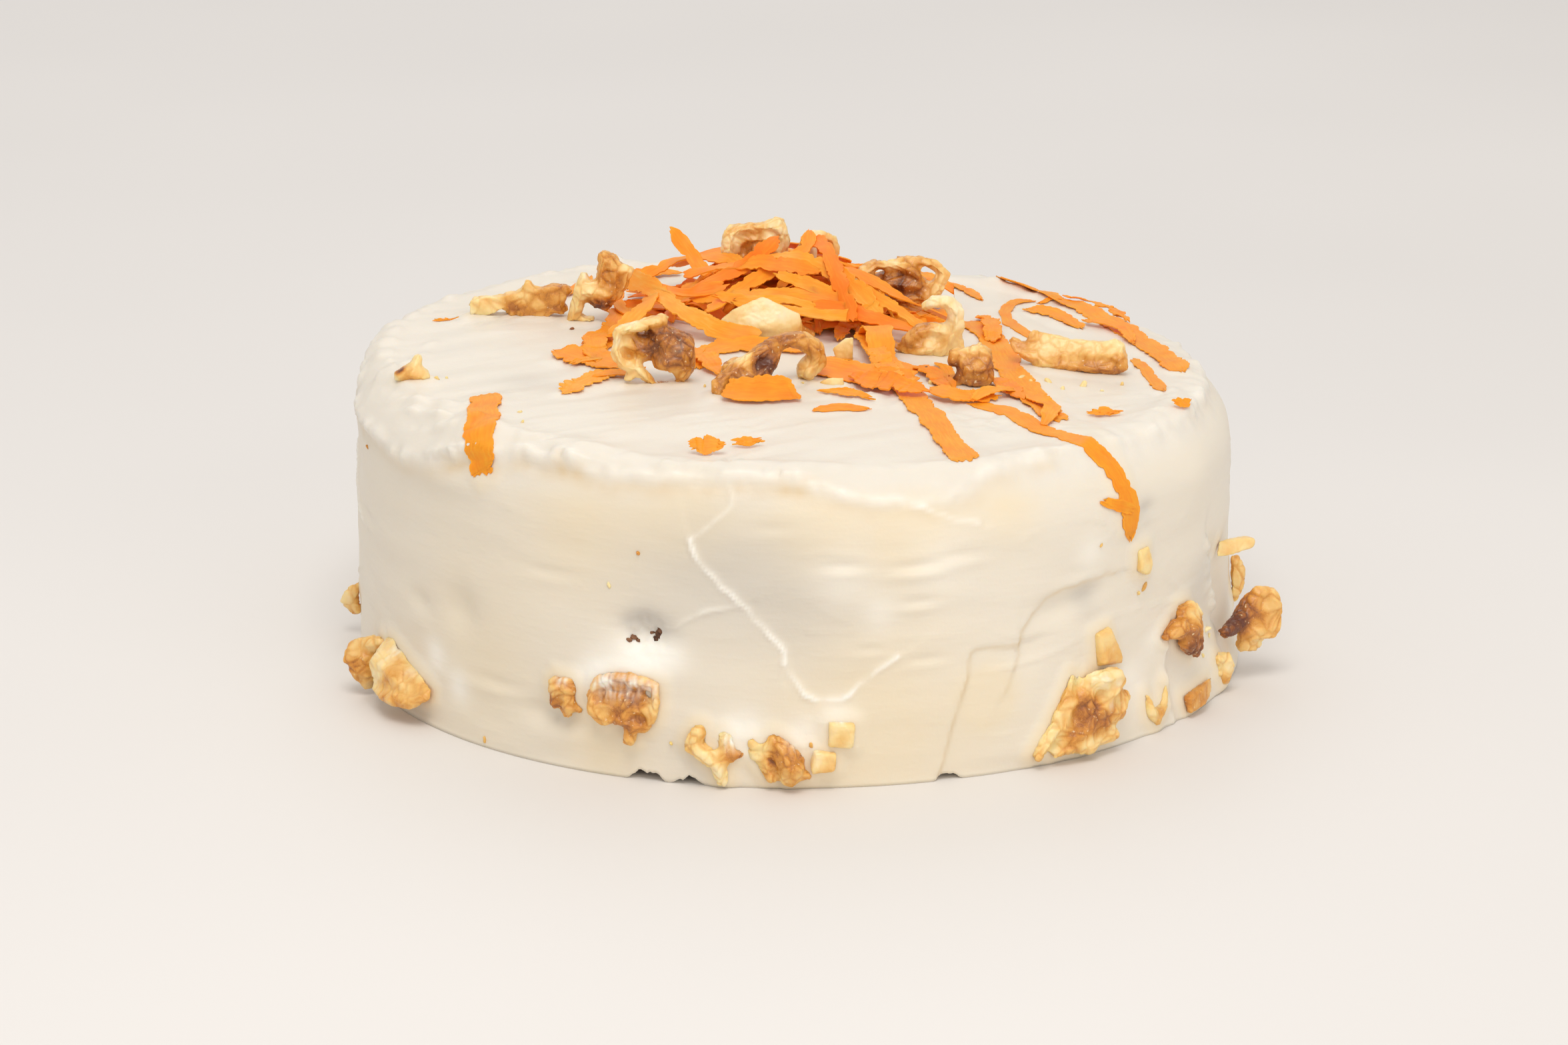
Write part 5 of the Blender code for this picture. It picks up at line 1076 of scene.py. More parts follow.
        count = len(bases)
        coat = join_all([wall, disc], "cream_cheese_coat")
        bases += top
        normals += [Vector((0, 0, 1))] * len(top)
        ridges += [0.0] * len(top)
        flats += [1.0] * len(top)
        points, outs = np.array(bases), np.array(normals)
        relief, bright, folded = self.line_relief(points / MM, outs)
        relief += self.dent_relief(points / MM)
        for i, base in enumerate(bases):
            place = base / MM
            relief[i] += self.wave_depth * noise.noise(place / self.wave_spacing) * min(1.0, place.z)
            soft = min(1.0, place.z / 6)
            relief[i] += self.strokes(place, flats[i]) * soft + self.rim_lumps(place, ridges[i])
            if i < count and ridges[i] > 0:
                angle = math.atan2(base.x, -base.y)
                swell = noise.noise(Vector((math.sin(angle), math.cos(angle), 0.3)) * 4.0)
                relief[i] += self.rim_ridge / MM * ridges[i] * (0.5 + swell)
        points = points + outs * (relief * MM)[:, None]
        carried = {n: tree_of(o) for n, o in frame["nodes"].items() if n.startswith(("walnut", "carrot"))}
        rise = self.lips(points, carried, {n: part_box(n) for n in carried})
        points = points + outs * rise[:, None]
        points[:, 2] = np.maximum(points[:, 2], 0.0)
        write_points(coat.data, points)
        self.paint(coat, rise / self.lip_height, bright, folded)
        self.close(coat)
        self.tree = tree_of(coat)
        return coat

    def close(self, coat: bpy.types.Object) -> None:
        """Merges the seams and adds the inner wall by extruding the foot."""
        pick(coat)
        bpy.ops.object.mode_set(mode="EDIT")
        bpy.ops.mesh.select_all(action="SELECT")
        bpy.ops.mesh.remove_doubles(threshold=0.02 * MM)
        bpy.ops.mesh.select_all(action="DESELECT")
        bpy.ops.mesh.select_non_manifold()
        steps = (
            (self.inner_radius, None),
            (self.inner_radius, self.inner_height - self.inner_round),
            (self.inner_radius - self.inner_round, self.inner_height),
        )
        for radius, height in steps:
            bpy.ops.mesh.extrude_region_move()
            shaped = bmesh.from_edit_mesh(coat.data)
            for vertex in shaped.verts:
                if vertex.select:
                    out = Vector((vertex.co.x, vertex.co.y, 0)).normalized() * radius
                    vertex.co = (out.x, out.y, vertex.co.z if height is None else height)
            bmesh.update_edit_mesh(coat.data)
        bpy.ops.mesh.edge_face_add()
        bpy.ops.mesh.select_all(action="SELECT")
        bpy.ops.mesh.normals_make_consistent(inside=False)
        bpy.ops.object.mode_set(mode="OBJECT")

    def paint(self, coat: bpy.types.Object, near: np.ndarray, bright: np.ndarray, folded: np.ndarray) -> None:
        """Stores the coat's tints.

        Args:
            coat: the coat before its seams are merged.
            near: 0 to 1, how close a topping is.
            bright: the painted highlight along the raised lines and the crest.
            folded: the painted shade in the folds beside and under them.
        """
        points = read_points(coat.data) / MM
        high = np.clip((points[:, 2] - 60) / 6, 0, 1)
        # The side is warmer than the top, and round the toppings warmer from an oily stain and painted bounce light;
        # line holds painted highlight and whiter cream, fold painted shade
        starts = {"thin": 0 * high, "warm_tone_and_painted_light": 0.25 - 0.25 * high + 0.35 * near, "line": bright, "fold": folded}
        for name, tints in (("thin", THIN_CREAM_AND_FLAP_SHADE), ("warm_tone_and_painted_light", WARM_BOUNCE_AND_CREST_SHADE), ("line", WHITE_CREAM_AND_LIP_HIGHLIGHT), ("fold", ())):
            values = starts[name]
            for tint in tints:
                away = np.linalg.norm(points - np.array(tint.place), axis=1) / tint.reach
                values = values + tint.amount * np.exp(-(away**2))
            write_attribute(coat.data, name, np.clip(values, 0, 1))


# ---------------------------------------------------------------- the sponge


@dataclass
class SpongeCake:
    """The dark drum inside the coat, which shows at the foot and as specks in a scraped dent."""

    radius: float = 95.7 * MM
    height: float = 59.1 * MM
    round_edge: float = 5.0 * MM
    crumb_depth: float = 0.9
    sides: int = 420

    def build(self) -> bpy.types.Object:
        """Models the drum.

        Returns:
            A cylinder with a rounded upper edge and a crumbly side.
        """
        deselect()
        bpy.ops.mesh.primitive_cylinder_add(
            vertices=self.sides, radius=self.radius, depth=self.height, location=(0, 0, self.height / 2)
        )
        drum = bpy.context.object
        drum.name = "sponge_drum"
        bpy.ops.object.transform_apply(location=True)
        bpy.ops.object.mode_set(mode="EDIT")
        bpy.ops.mesh.select_mode(type="EDGE")
        bpy.ops.mesh.select_all(action="DESELECT")
        shaped = bmesh.from_edit_mesh(drum.data)
        for edge in shaped.edges:
            if all(v.co.z > self.height * 0.9 for v in edge.verts):
                edge.select_set(True)
        bmesh.update_edit_mesh(drum.data)
        bpy.ops.mesh.bevel(offset=self.round_edge, segments=4, affect="EDGES")
        for level in (1.2, 2.4, 3.6, 4.8, 6.4, 9.0, 14.0, 22.0):
            bpy.ops.mesh.select_all(action="SELECT")
            bpy.ops.mesh.bisect(plane_co=(0, 0, level * MM), plane_no=(0, 0, 1))
        bpy.ops.object.mode_set(mode="OBJECT")
        points = read_points(drum.data)
        for i, (x, y, z) in enumerate(points):
            if math.hypot(x, y) > self.radius * 0.9 and 0.3 * MM < z < self.height - 0.3 * MM:
                place = Vector((x, y, z)) / MM
                crumb = abs(noise.noise(place / 1.8)) + 0.5 * abs(noise.noise(place / 0.9))
                points[i] -= np.array((x, y, 0)) / math.hypot(x, y) * self.crumb_depth * crumb * MM
        write_points(drum.data, points)
        return drum

    def specks(self, coat: CreamCoat) -> bpy.types.Object:
        """Small crumbs of sponge that show where the coat is scraped thin.

        Args:
            coat: the coat they lie in.

        Returns:
            The specks as one piece.
        """
        spots = (
            (-20.7, 30.7, 0.8, 0.5),
            (-20.1, 31.2, 0.9, 0.7),
            (-19.6, 30.7, 0.6, 0.4),
            (-17.4, 31.3, 0.9, 0.7),
            (-17.0, 32.4, 0.9, 1.0),
            (-16.8, 33.6, 0.6, 0.9),
            (-17.9, 32.6, 0.5, 0.4),
        )
        parts = []
        for turn, height, wide, tall in spots:
            out = direction(math.radians(turn))
            start = out * 0.13 + Vector((0, 0, height * MM))
            hit = coat.tree.ray_cast(start, -out)[0]
            deselect()
            bpy.ops.mesh.primitive_ico_sphere_add(subdivisions=3, radius=MM, location=hit)
            speck = bpy.context.object
            speck.rotation_euler = (0, 0, math.radians(turn))
            speck.scale = (wide, 0.4, tall)
            bpy.ops.object.transform_apply(location=True, rotation=True, scale=True)
            points = read_points(speck.data)
            middle = np.array(hit)
            for i, point in enumerate(points):
                lump = noise.noise(Vector(point) / (0.7 * MM)) + 0.7 * noise.noise(Vector(point) / (0.3 * MM))
                points[i] = middle + (point - middle) * (0.9 + 0.5 * lump)
            write_points(speck.data, points)
            parts.append(speck)
        return join_all(parts, "sponge_specks")


# ---------------------------------------------------------------- the carrot


@dataclass(frozen=True)
class Shred:
    """A loose shred: the CAD node it stands for, its width and the points of its middle in mm.

    fray is how deep its edges are torn, curl how far its long edges rise, tint its paleness, bare how
    far its two ends thin out, and lean how far in degrees it is tipped towards the front.
    """

    node: str
    width: float
    route: Route
    fray: float = 0.3
    curl: float = 0.10
    tint: float = 0.0
    bare: float = 0.4
    lean: float = 0.0


LOOSE_SHREDS = (
    Shred("rim_left", 7.2, ((-68, -43, 71), (-68, -58, 71), (-67, -68, 69), (-66, -76, 61)), 0.24, 0.04, 0.0, 0.7),
    Shred("leaf_left", 8.5, ((-56, -8, 71), (-48, -13, 71), (-38, -21, 71)), 0.4, 0.1, -0.02, 0.2, 14),
    Shred("frayed_left", 6.0, ((-52, -44, 71), (-47, -33, 71), (-40, -21, 71)), 0.8, 0.15, 0.14, 0.15, 10),
    Shred("wide_left", 7.5, ((-40, 32, 71), (-41, 20, 71), (-44, 6, 71), (-46, -8, 71)), 0.35, 0.12, 0.0, 0.4, 12),
    Shred("behind_round_kernel", 6.5, ((-22, -20, 71), (-20, -8, 71), (-12, 0, 71), (5, 1, 71)), 0.3, 0.1, 0.0, 0.3, 14),
    Shred("under_twisted_kernel", 9.5, ((-17, -41, 71), (-9, -42, 71), (2, -38, 71)), 0.22, 0.16, -0.05, 0.7, 20),
    Shred("thin_middle", 3.4, ((3, -50, 70), (9, -46, 70), (18, -46, 70)), 0.25, 0.0, -0.03, 0.2, 10),
    Shred("patch_front", 9.0, ((3, -17, 70), (12, -22, 70), (21, -26, 70), (30, -24, 70)), 0.28, 0.1, -0.1, 0.5, 18),
    Shred("patch_middle", 6.0, ((20, 8, 70), (20, -4, 70), (23, -12, 70), (30, -15, 70)), 0.35, 0.1, -0.05, 0.4, 10),
    Shred(
        "long_front",
        6.6,
        ((17, 22, 70), (19, 4, 70), (21, -12, 70), (25, -30, 70), (31, -56, 70), (37, -86, 69)),
        0.22,
        0.06,
        0.02,
        0.6,
    ),
    Shred("under_amber", 6.0, ((29, -33, 70), (37, -38, 70), (47, -35, 69)), 0.5, 0.1, -0.04, 0.3, 14),
    Shred("long_right", 7.2, ((41, 36, 69), (45, 22, 69), (48, 6, 69), (50, -12, 69)), 0.34, 0.1, 0.0, 0.5),
    Shred("long_right_front", 7.4, ((49, -6, 69), (52, -22, 69), (56, -42, 69), (59, -52, 69)), 0.34, 0.1, 0.02, 0.6),
    Shred(
        "over_rim_right",
        5.6,
        ((38, -40, 69), (46, -44, 69), (54, -56, 69), (62, -66, 68), (69, -70, 62), (72, -71, 55), (73, -71, 45)),
        0.34,
        0.03,
        0.0,
        0.1,
    ),
    Shred("long_back_right", 6.6, ((50, 79, 68), (60, 71, 68), (72, 51, 68), (81, 28, 67), (90, -4, 66)), 0.34, 0.1, 0.02, 0.3),
    Shred("loop_right", 3.2, ((60, 62, 68), (54, 57, 68), (51, 44, 68), (53, 30, 68), (60, 16, 68)), 0.25),
    Shred("short_right", 5.0, ((55, 49, 68), (63, 45, 68), (70, 33, 68)), 0.5, 0.1, 0.0, 0.3, 12),
    Shred("thin_right", 3.4, ((79, 10, 67), (82, -7, 67), (84, -22, 67)), 0.3, 0.05, 0.0, 0.15),
)

# More shreds and scraps that lie between and over these: width, rise over the coat, lean, paleness, points
FINE_SHREDS = (
    (5.4, 3.0, 10, 0.04, ((17, 16), (18, -2), (21, -21), (24, -30))),
    (4.6, 1.6, 20, 0.0, ((11, 12), (12, 20), (17, 27))),
    (3.6, 0.4, 12, 0.0, ((3, -24), (8, -17), (15, -18))),
    (3.2, 0.4, 12, 0.0, ((6, -35), (11, -36), (17, -39))),
    (6.4, 1.4, 20, -0.12, ((13, -26), (20, -31), (29, -37))),
    (5.2, 1.0, 10, -0.12, ((28, -11), (32, -19), (36, -29))),
    (5.4, 0.8, 16, -0.12, ((44, -20), (48, -26), (51, -34))),
    (4.0, 1.6, 14, 0.05, ((40, -40), (44, -35), (50, -28))),
    (3.0, 1.4, 0, 0.0, ((33, -6), (35, -16), (36, -28))),
    (5.0, 1.2, 14, 0.0, ((-24, -6), (-20, -15), (-17, -24))),
    (2.6, 0.3, 0, 0.0, ((3, -5), (8, -8), (13, -8))),
    (6.4, 1.8, 14, 0.02, ((-44, 10), (-46, -4), (-45, -16))),
    (4.0, 1.0, 10, 0.06, ((-38, -4), (-43, -12), (-50, -17))),
    (3.4, 0.5, 10, 0.0, ((-34, -18), (-39, -24), (-45, -28))),
    (5.0, 1.2, 10, 0.0, ((45, 40), (47, 26), (46, 12))),
    (4.2, 1.0, 10, 0.04, ((52, -30), (57, -42), (55, -54))),
    (4.4, 1.4, 10, 0.0, ((66, 66), (76, 56), (80, 44))),
    (3.4, 1.2, 14, 0.0, ((70, 42), (78, 32), (80, 20))),
    (2.6, 0.3, 0, 0.0, ((60, 60), (65, 63), (68, 65))),
    (5.0, 0.5, 10, 0.0, ((-44, 62), (-40, 70), (-28, 76))),
    (4.6, 0.5, 0, 0.04, ((18, 72), (28, 76), (40, 72))),
    (3.6, 0.4, 0, 0.0, ((-58, 44), (-52, 56), (-50, 68))),
    (4.0, 0.4, 0, -0.05, ((-8, 76), (4, 80), (14, 86))),
    (3.0, 0.3, 0, 0.0, ((46, 60), (42, 70), (30, 86))),
)

# Shreds of the heap: width, the points of the middle, and the roll about it in degrees
HEAP_SHREDS = (
    (3.8, ((-29.5, 44, 89), (-26, 43, 84.8), (-22, 40, 80.4), (-18, 36, 78.4), (-11, 30, 77.6)), 30),
    (5.2, ((-40, 42, 77), (-34, 30, 78), (-27, 16, 76.5), (-17, 6, 73.6), (-8, 4, 72.2)), 35),
    (4.5, ((-38, 46, 76), (-27, 49, 80), (-17, 42, 82), (-10, 32, 81)), 20),
    (4.2, ((-26, 34, 80), (-14, 31, 83), (-4, 29, 84), (6, 28, 82)), 30),
    (4.0, ((-22, 26, 79), (-12, 30, 83), (-6, 38, 86), (-4, 42, 87)), 40),
    (3.4, ((-4, 26, 82), (2, 22, 81), (10, 22, 79), (16, 26, 79)), 40),
    (3.0, ((-18, 18, 78.6), (-10, 16, 78), (-2, 17, 78), (6, 14, 76.6)), 40),
    (3.6, ((14, 24, 79.6), (22, 18, 77), (30, 10, 73), (34, 4, 71.6)), 25),
    (3.2, ((-36, 36, 78), (-30, 26, 78.4), (-24, 22, 78.4), (-16, 24, 80)), 35),
    (4.5, ((-24, 22, 77), (-8, 20, 78.6), (6, 20, 78), (20, 16, 74)), 35),
    (4.9, ((-14, 36, 82), (0, 33, 84.5), (12, 26, 81), (20, 14, 75)), 20),
    (4.2, ((0, 29, 81), (12, 31, 82), (26, 22, 77), (38, 18, 72.4)), -10),
    (4.5, ((4, 18, 76.6), (14, 14, 76), (24, 10, 73.6), (35, 8, 71.6)), 30),
    (4.2, ((-34, 30, 76), (-34, 20, 77), (-38, 10, 75), (-44, 2, 72.8)), 8),
    (3.5, ((12, 60, 75), (24, 56, 76), (36, 50, 73.4), (43, 44, 71.6)), 0),
    (4.5, ((5, 42, 87), (8, 34, 86), (11, 22, 81), (14, 10, 75)), 25),
    (3.5, ((2, 24, 79), (6, 14, 76), (10, 4, 72.4)), 20),
    (3.8, ((-20, 14, 76), (-10, 26, 80), (2, 36, 85), (4, 44, 88.4)), 20),
    (3.1, ((-40, 66, 72.4), (-32, 66, 75.4), (-24, 62, 78)), 15),
    (3.5, ((-36, 46, 76), (-42, 38, 74.6), (-40, 27, 73), (-34, 24, 72)), 10),
    (3.5, ((-30, 20, 77), (-20, 10, 76), (-8, 9, 74)), 30),
    (3.8, ((-14, 16, 78), (0, 12, 76.4), (12, 12, 75.4), (22, 20, 76)), 35),
    (4.0, ((22, 50, 78), (28, 40, 77), (36, 30, 73)), 10),
    (4.2, ((-30, 60, 76), (-14, 63, 79), (2, 62, 79), (14, 58, 77)), -20),
    (4.5, ((-34, 54, 76), (-20, 56, 80), (-4, 56, 82), (10, 52, 81)), -15),
)


@dataclass
class GratedCarrot:
    """Cuts every shred: a thin strip with torn edges, fibres and a slight curl."""

    coat: CreamCoat
    thickness: float = 0.65 * MM
    step: float = 0.4 * MM
    lanes: int = 8
    taper_mm: float = 5.0
    rest_rise: float = 1.5 * MM

    def half_width(self, way: float, near_end: float, edge: float, fray: float, bare: float, seed: float) -> float:
        """A torn edge's distance from the middle, as a share of half the width.

        Args:
            way: along the strip in mm.
            near_end: to the nearer end in mm.
            edge: -1 or 1, which of the two edges.
            fray: how deep the edge is torn.
            bare: the width at the ends.
            seed: moves the torn edges along.

        Returns:
            About 1, less in the notches and near the ends.
        """
        reach = bare + (1 - bare) * min(1.0, near_end / self.taper_mm) ** 0.7
        broad = noise.noise(Vector((way / 5.5, edge * 3, seed)))
        torn = max(0.0, noise.noise(Vector((way / 1.7, edge * 5 + seed, seed))))
        fine = abs(noise.noise(Vector((way / 0.8, edge * 7 + seed, 2.0))))
        return max(0.16, reach * (1 + 0.28 * broad - fray * (1.3 * torn + 0.5 * fine)))

    def ribbon(
        self,
        name: str,
        centres: Sequence[Vector],
        ups: Sequence[Vector],
        width: float,
        fray: float = 0.3,
        curl: float = 0.1,
        tint: float = 0.0,
        bare: float = 0.4,
        seed: float = 0.0,
        lean: float = 0.0,
        lanes: int | None = None,
        clear: bool = True,
    ) -> bpy.types.Object:
        """Models one strip.

        Args:
            name: the object's name.
            centres: the middle of its under side, in metres.
            ups: the way out of its upper side at each of them.
            width: in metres.
            fray: how deep the edges are torn, as a share of half the width.
            curl: how far the long edges rise, as a share of half the width.
            tint: how much paler than the others it is.
            bare: its width at the ends, as a share of the whole.
            seed: moves the torn edges along.
            lean: how far it is tipped towards the front, in degrees.
            lanes: how many faces across, or None for the usual number.
            clear: keeps it out of the coat.

        Returns:
            The strip, a closed mesh with a map in millimetres.
        """
        count = len(centres) - 1
        strip = new_grid(name, lanes or self.lanes, count)
        flat = read_points(strip.data)
        points = np.empty_like(flat)
        rows = np.rint((flat[:, 1] + 1) / 2 * count).astype(int)
        for k, (across, _, _) in enumerate(flat):
            i = rows[k]
            ahead = (centres[min(i + 1, count)] - centres[max(i - 1, 0)]).normalized()
            front = Vector((0, -1, 0))
            front = front - ahead * front.dot(ahead)
            up = (ups[i] + front * math.tan(math.radians(lean))).normalized()
            side = up.cross(ahead).normalized()
            way = i * self.step / MM
            near_end = min(i, count - i) * self.step / MM
            half = width / 2 * self.half_width(way, near_end, math.copysign(1.0, across), fray, bare, seed)
            groove = 0.14 * MM * noise.noise(Vector((way / 9, across * 3.5, seed + 3)))
            rise = curl * half * across * across + groove
            # The ends are torn: some lanes run on and others stop short
            last = -1.0 if i * 2 < count else 1.0
            jag = noise.noise(Vector((across * 1.9, seed * 2, last))) * 2.2 * MM * max(0.0, 1 - near_end / 3)
            lifted = ups[i] * (width / 2 * math.sin(math.radians(abs(lean))) * front.length)
            place = centres[i] - side * (half * across) + up * rise + ahead * (last * jag) + lifted
            if clear:
                ground, normal, _, _ = self.coat.tree.find_nearest(place)
                away = (place - ground).dot(normal)
                if away < 0.03 * MM:
                    place = place + normal * (0.03 * MM - away)
            points[k] = place
        write_points(strip.data, points)
        shown = strip.data.uv_layers.active.data
        for loop in strip.data.loops:
            k = loop.vertex_index
            shown[loop.index].uv = (rows[k] * self.step / MM / 5 + seed, flat[k, 0] * width / MM / 10 + seed)
        # Each shred's own tint, paler along its two long edges: a painted light bounced up from the cream
        paleness = [tint + 0.12 * max(0.0, abs(x) - 0.6) for x in flat[:, 0]]
        write_attribute(strip.data, "tint", paleness)
        apply_modifier(strip, "SOLIDIFY", thickness=self.thickness, offset=1.0, thickness_clamp=1.6)
        return strip

    def lay(self, shred: Shred, node: bpy.types.Object, seed: float) -> bpy.types.Object:
        """Lays a loose shred on the coat, as high over it as its CAD node lies.

        Args:
            shred: the shred.
            node: its CAD node.
            seed: for its torn edges.

        Returns:
            The shred's piece.
        """
        solid = tree_of(node)
        path = smooth_path([Vector(p) * MM for p in shred.route], self.step)
        rises, places, normals = [], [], []
        for point in path:
            place, normal, _, _ = self.coat.tree.find_nearest(point)
            hit = solid.ray_cast(place + normal * 20 * MM, -normal)[0]
            rises.append(max(0.0, (hit - place).dot(normal) - self.rest_rise) if hit is not None else None)
            places.append(place)
            normals.append(normal)
        known = [r for r in rises if r is not None] or [0.0]
        last = known[0]
        for i, rise in enumerate(rises):
            last = rise if rise is not None else last
            rises[i] = last
        window = 8
        centres, ups = [], []
        for i in range(len(path)):
            near = slice(max(0, i - window), i + window + 1)
            rise = sum(rises[near]) / len(rises[near])
            up = sum(normals[near], Vector()).normalized()
            middle = sum(places[near], Vector()) / len(places[near])
            centres.append(middle + up * rise)
            ups.append(up)
        return self.ribbon(
            "shred_" + shred.node,
            centres,
            ups,
            shred.width * MM,
            shred.fray,
            shred.curl,
            shred.tint,
            shred.bare,
            seed,
            shred.lean,
        )

    def prong(self) -> bpy.types.Object:
        """Models the torn side branch of the shred that hangs over the rim at the right."""
        route = [Vector(p) * MM for p in ((67.2, -76, 56.6), (69.4, -74, 55.2), (72.6, -71, 53.4))]
        near = [self.coat.tree.find_nearest(point) for point in smooth_path(route, self.step)]
        centres = [place + normal * 0.25 * MM for place, normal, _, _ in near]
        ups = [normal for _, normal, _, _ in near]
        return self.ribbon("shred_prong_right", centres, ups, 3.4 * MM, 0.5, 0.0, 0.0, 0.6, 7.7)

    def strew(self, rows: Sequence[tuple], name: str) -> bpy.types.Object:
        """Lays more shreds on the top.

        Args:
            rows: for each its width, its rise over the coat, its lean, its paleness and its points in mm.
            name: of the piece.

        Returns:
            All of them as one piece.
        """
        parts = []
        for i, (width, rise, lean, tint, route) in enumerate(rows):
            path = smooth_path([Vector((x * MM, y * MM, 0.12)) for x, y in route], self.step)
            centres, ups = [], []
            for k, point in enumerate(path):
                place, normal, _, _ = self.coat.tree.ray_cast(point, Vector((0, 0, -1)))
                arch = 0.4 + 0.6 * math.sin(math.pi * k / (len(path) - 1))
                centres.append(place + normal * rise * arch * MM)
                ups.append(normal)
            for k in range(1, len(ups) - 1):
                ups[k] = (ups[k - 1] + ups[k] + ups[k + 1]).normalized()
            parts.append(
                self.ribbon(f"{name}_{i}", centres, ups, width * MM, 0.5, 0.1, tint, 0.3, 40 + i * 2.7, lean)
            )
        return join_all(parts, name)


@dataclass
class CarrotHeap:
    """The heap of shreds on the back of the top: a low mound under many strips."""

    cutter: GratedCarrot
    middle: tuple[float, float] = (0.0, 41.0)
    core: tuple[float, float] = (31.0, 20.0)
    core_height: float = 9.5
    spread: tuple[float, float] = (44.0, 28.0)
    loose: int = 84
    scraps: int = 110
    narrow: float = 2.5
    seed: int = 20

    def core_at(self, x: float, y: float) -> float:
        """How high the mound stands over the coat at a point, all in mm, negative outside it."""
        across = math.hypot((x - self.middle[0]) / self.core[0], (y - self.middle[1]) / self.core[1])
        lumps = 0.9 * noise.noise(Vector((x, y, 0.0)) / 9)
        return self.core_height * (1.0 - across**2.2) + lumps * bump(across)

    def ground_at(self, x: float, y: float) -> float:
        """Height of the coat over a point, all in mm."""
        start = Vector((x * MM, y * MM, 0.12))
        hit = self.cutter.coat.tree.ray_cast(start, Vector((0, 0, -1)))[0]
        return hit.z / MM

    def mound(self) -> bpy.types.Object:
        """Models the mound from a grid: shreds so close together that they read as one lumpy form."""
        grid = new_grid("mound", 66, 44)
        points = read_points(grid.data)
        for i, (x, y, _) in enumerate(points):
            # A square pulled round, so that the mound has no corners
            px = x * math.sqrt(1 - y * y / 2) * self.core[0] + self.middle[0]
            py = y * math.sqrt(1 - x * x / 2) * self.core[1] + self.middle[1]
            rough = noise.noise(Vector((px / 6, py / 2.2, 2.0))) * 0.8
            high = max(-0.6, self.core_at(px, py) - 0.9 + rough)
            points[i] = (px * MM, py * MM, (self.ground_at(px, py) + high) * MM)
        write_points(grid.data, points)
        write_attribute(grid.data, "tint", [0.0] * len(points))
        apply_modifier(grid, "SOLIDIFY", thickness=0.8 * MM, offset=-1.0)
        return grid

    def random_route(self, rng: random.Random) -> tuple[float, list[Vector], float]:
        """A shred that lies over the mound: (width, points in mm, roll)."""
        away = math.sqrt(rng.uniform(0.0, 0.9))
        angle = rng.uniform(0.0, math.tau)
        x = self.middle[0] + self.spread[0] * away * math.cos(angle) * 0.78
        y = self.middle[1] + self.spread[1] * away * math.sin(angle) * 0.78
        heading = rng.gauss(0.1, 0.62)
        half = rng.uniform(9.0, 20.0)
        bend = rng.uniform(-0.7, 0.7)
        lift, waves, phase = rng.uniform(0.4, 2.6), rng.uniform(0.7, 1.5), rng.uniform(0.0, 1.0)
        route = []
        for i in range(7):
            share = i / 3 - 1
            turned = heading + bend * share
            px, py = x + math.cos(turned) * half * share, y + math.sin(turned) * half * share
            if ((px - self.middle[0]) / self.spread[0]) ** 2 + ((py - self.middle[1]) / self.spread[1]) ** 2 > 0.98:
                continue
            over = lift * abs(math.sin(math.pi * (waves * i / 6 + phase)))
            route.append(Vector((px, py, self.ground_at(px, py) + max(0.0, self.core_at(px, py)) + over - 0.3)))
        return rng.choice((1.6, 2.2, 2.8, 3.4, 4.2)), route, rng.uniform(-15, 32)

    def scrap(self, rng: random.Random, number: int) -> bpy.types.Object:
        """A short torn bit of carrot that stands or lies on the mound.

        Args:
            rng: the heap's random draws.
            number: of the bit, for its torn edges.

        Returns:
            The bit.
        """
        away, angle = math.sqrt(rng.uniform(0.0, 0.8)), rng.uniform(0.0, math.tau)
        x = self.middle[0] + self.core[0] * away * math.cos(angle)
        y = self.middle[1] + self.core[1] * away * math.sin(angle)
        heading, half, climb = rng.uniform(-1.2, 1.2), rng.uniform(1.6, 4.2), rng.uniform(-0.7, 0.9)
        route = []
        for share in (-1, -0.3, 0.4, 1):
            px, py = x + math.cos(heading) * half * share, y + math.sin(heading) * half * share
            rise = self.ground_at(px, py) + max(0.0, self.core_at(px, py)) + 2.8 + climb * half * share * 0.5
            route.append(Vector((px, py, rise)) * MM)
        path = smooth_path(route, self.cutter.step)
        roll = Matrix.Rotation(rng.uniform(-0.6, 1.0), 3, Vector((math.cos(heading), math.sin(heading), 0)))
        ups = [roll @ Vector((0, 0, 1))] * len(path)
        width, tint = rng.uniform(0.9, 2.2) * MM, rng.uniform(-0.1, 0.2)
        return self.cutter.ribbon(
            f"scrap_{number}", path, ups, width, 0.6, 0.1, tint, 0.4, 200 + number * 1.3, lanes=3, clear=False
        )

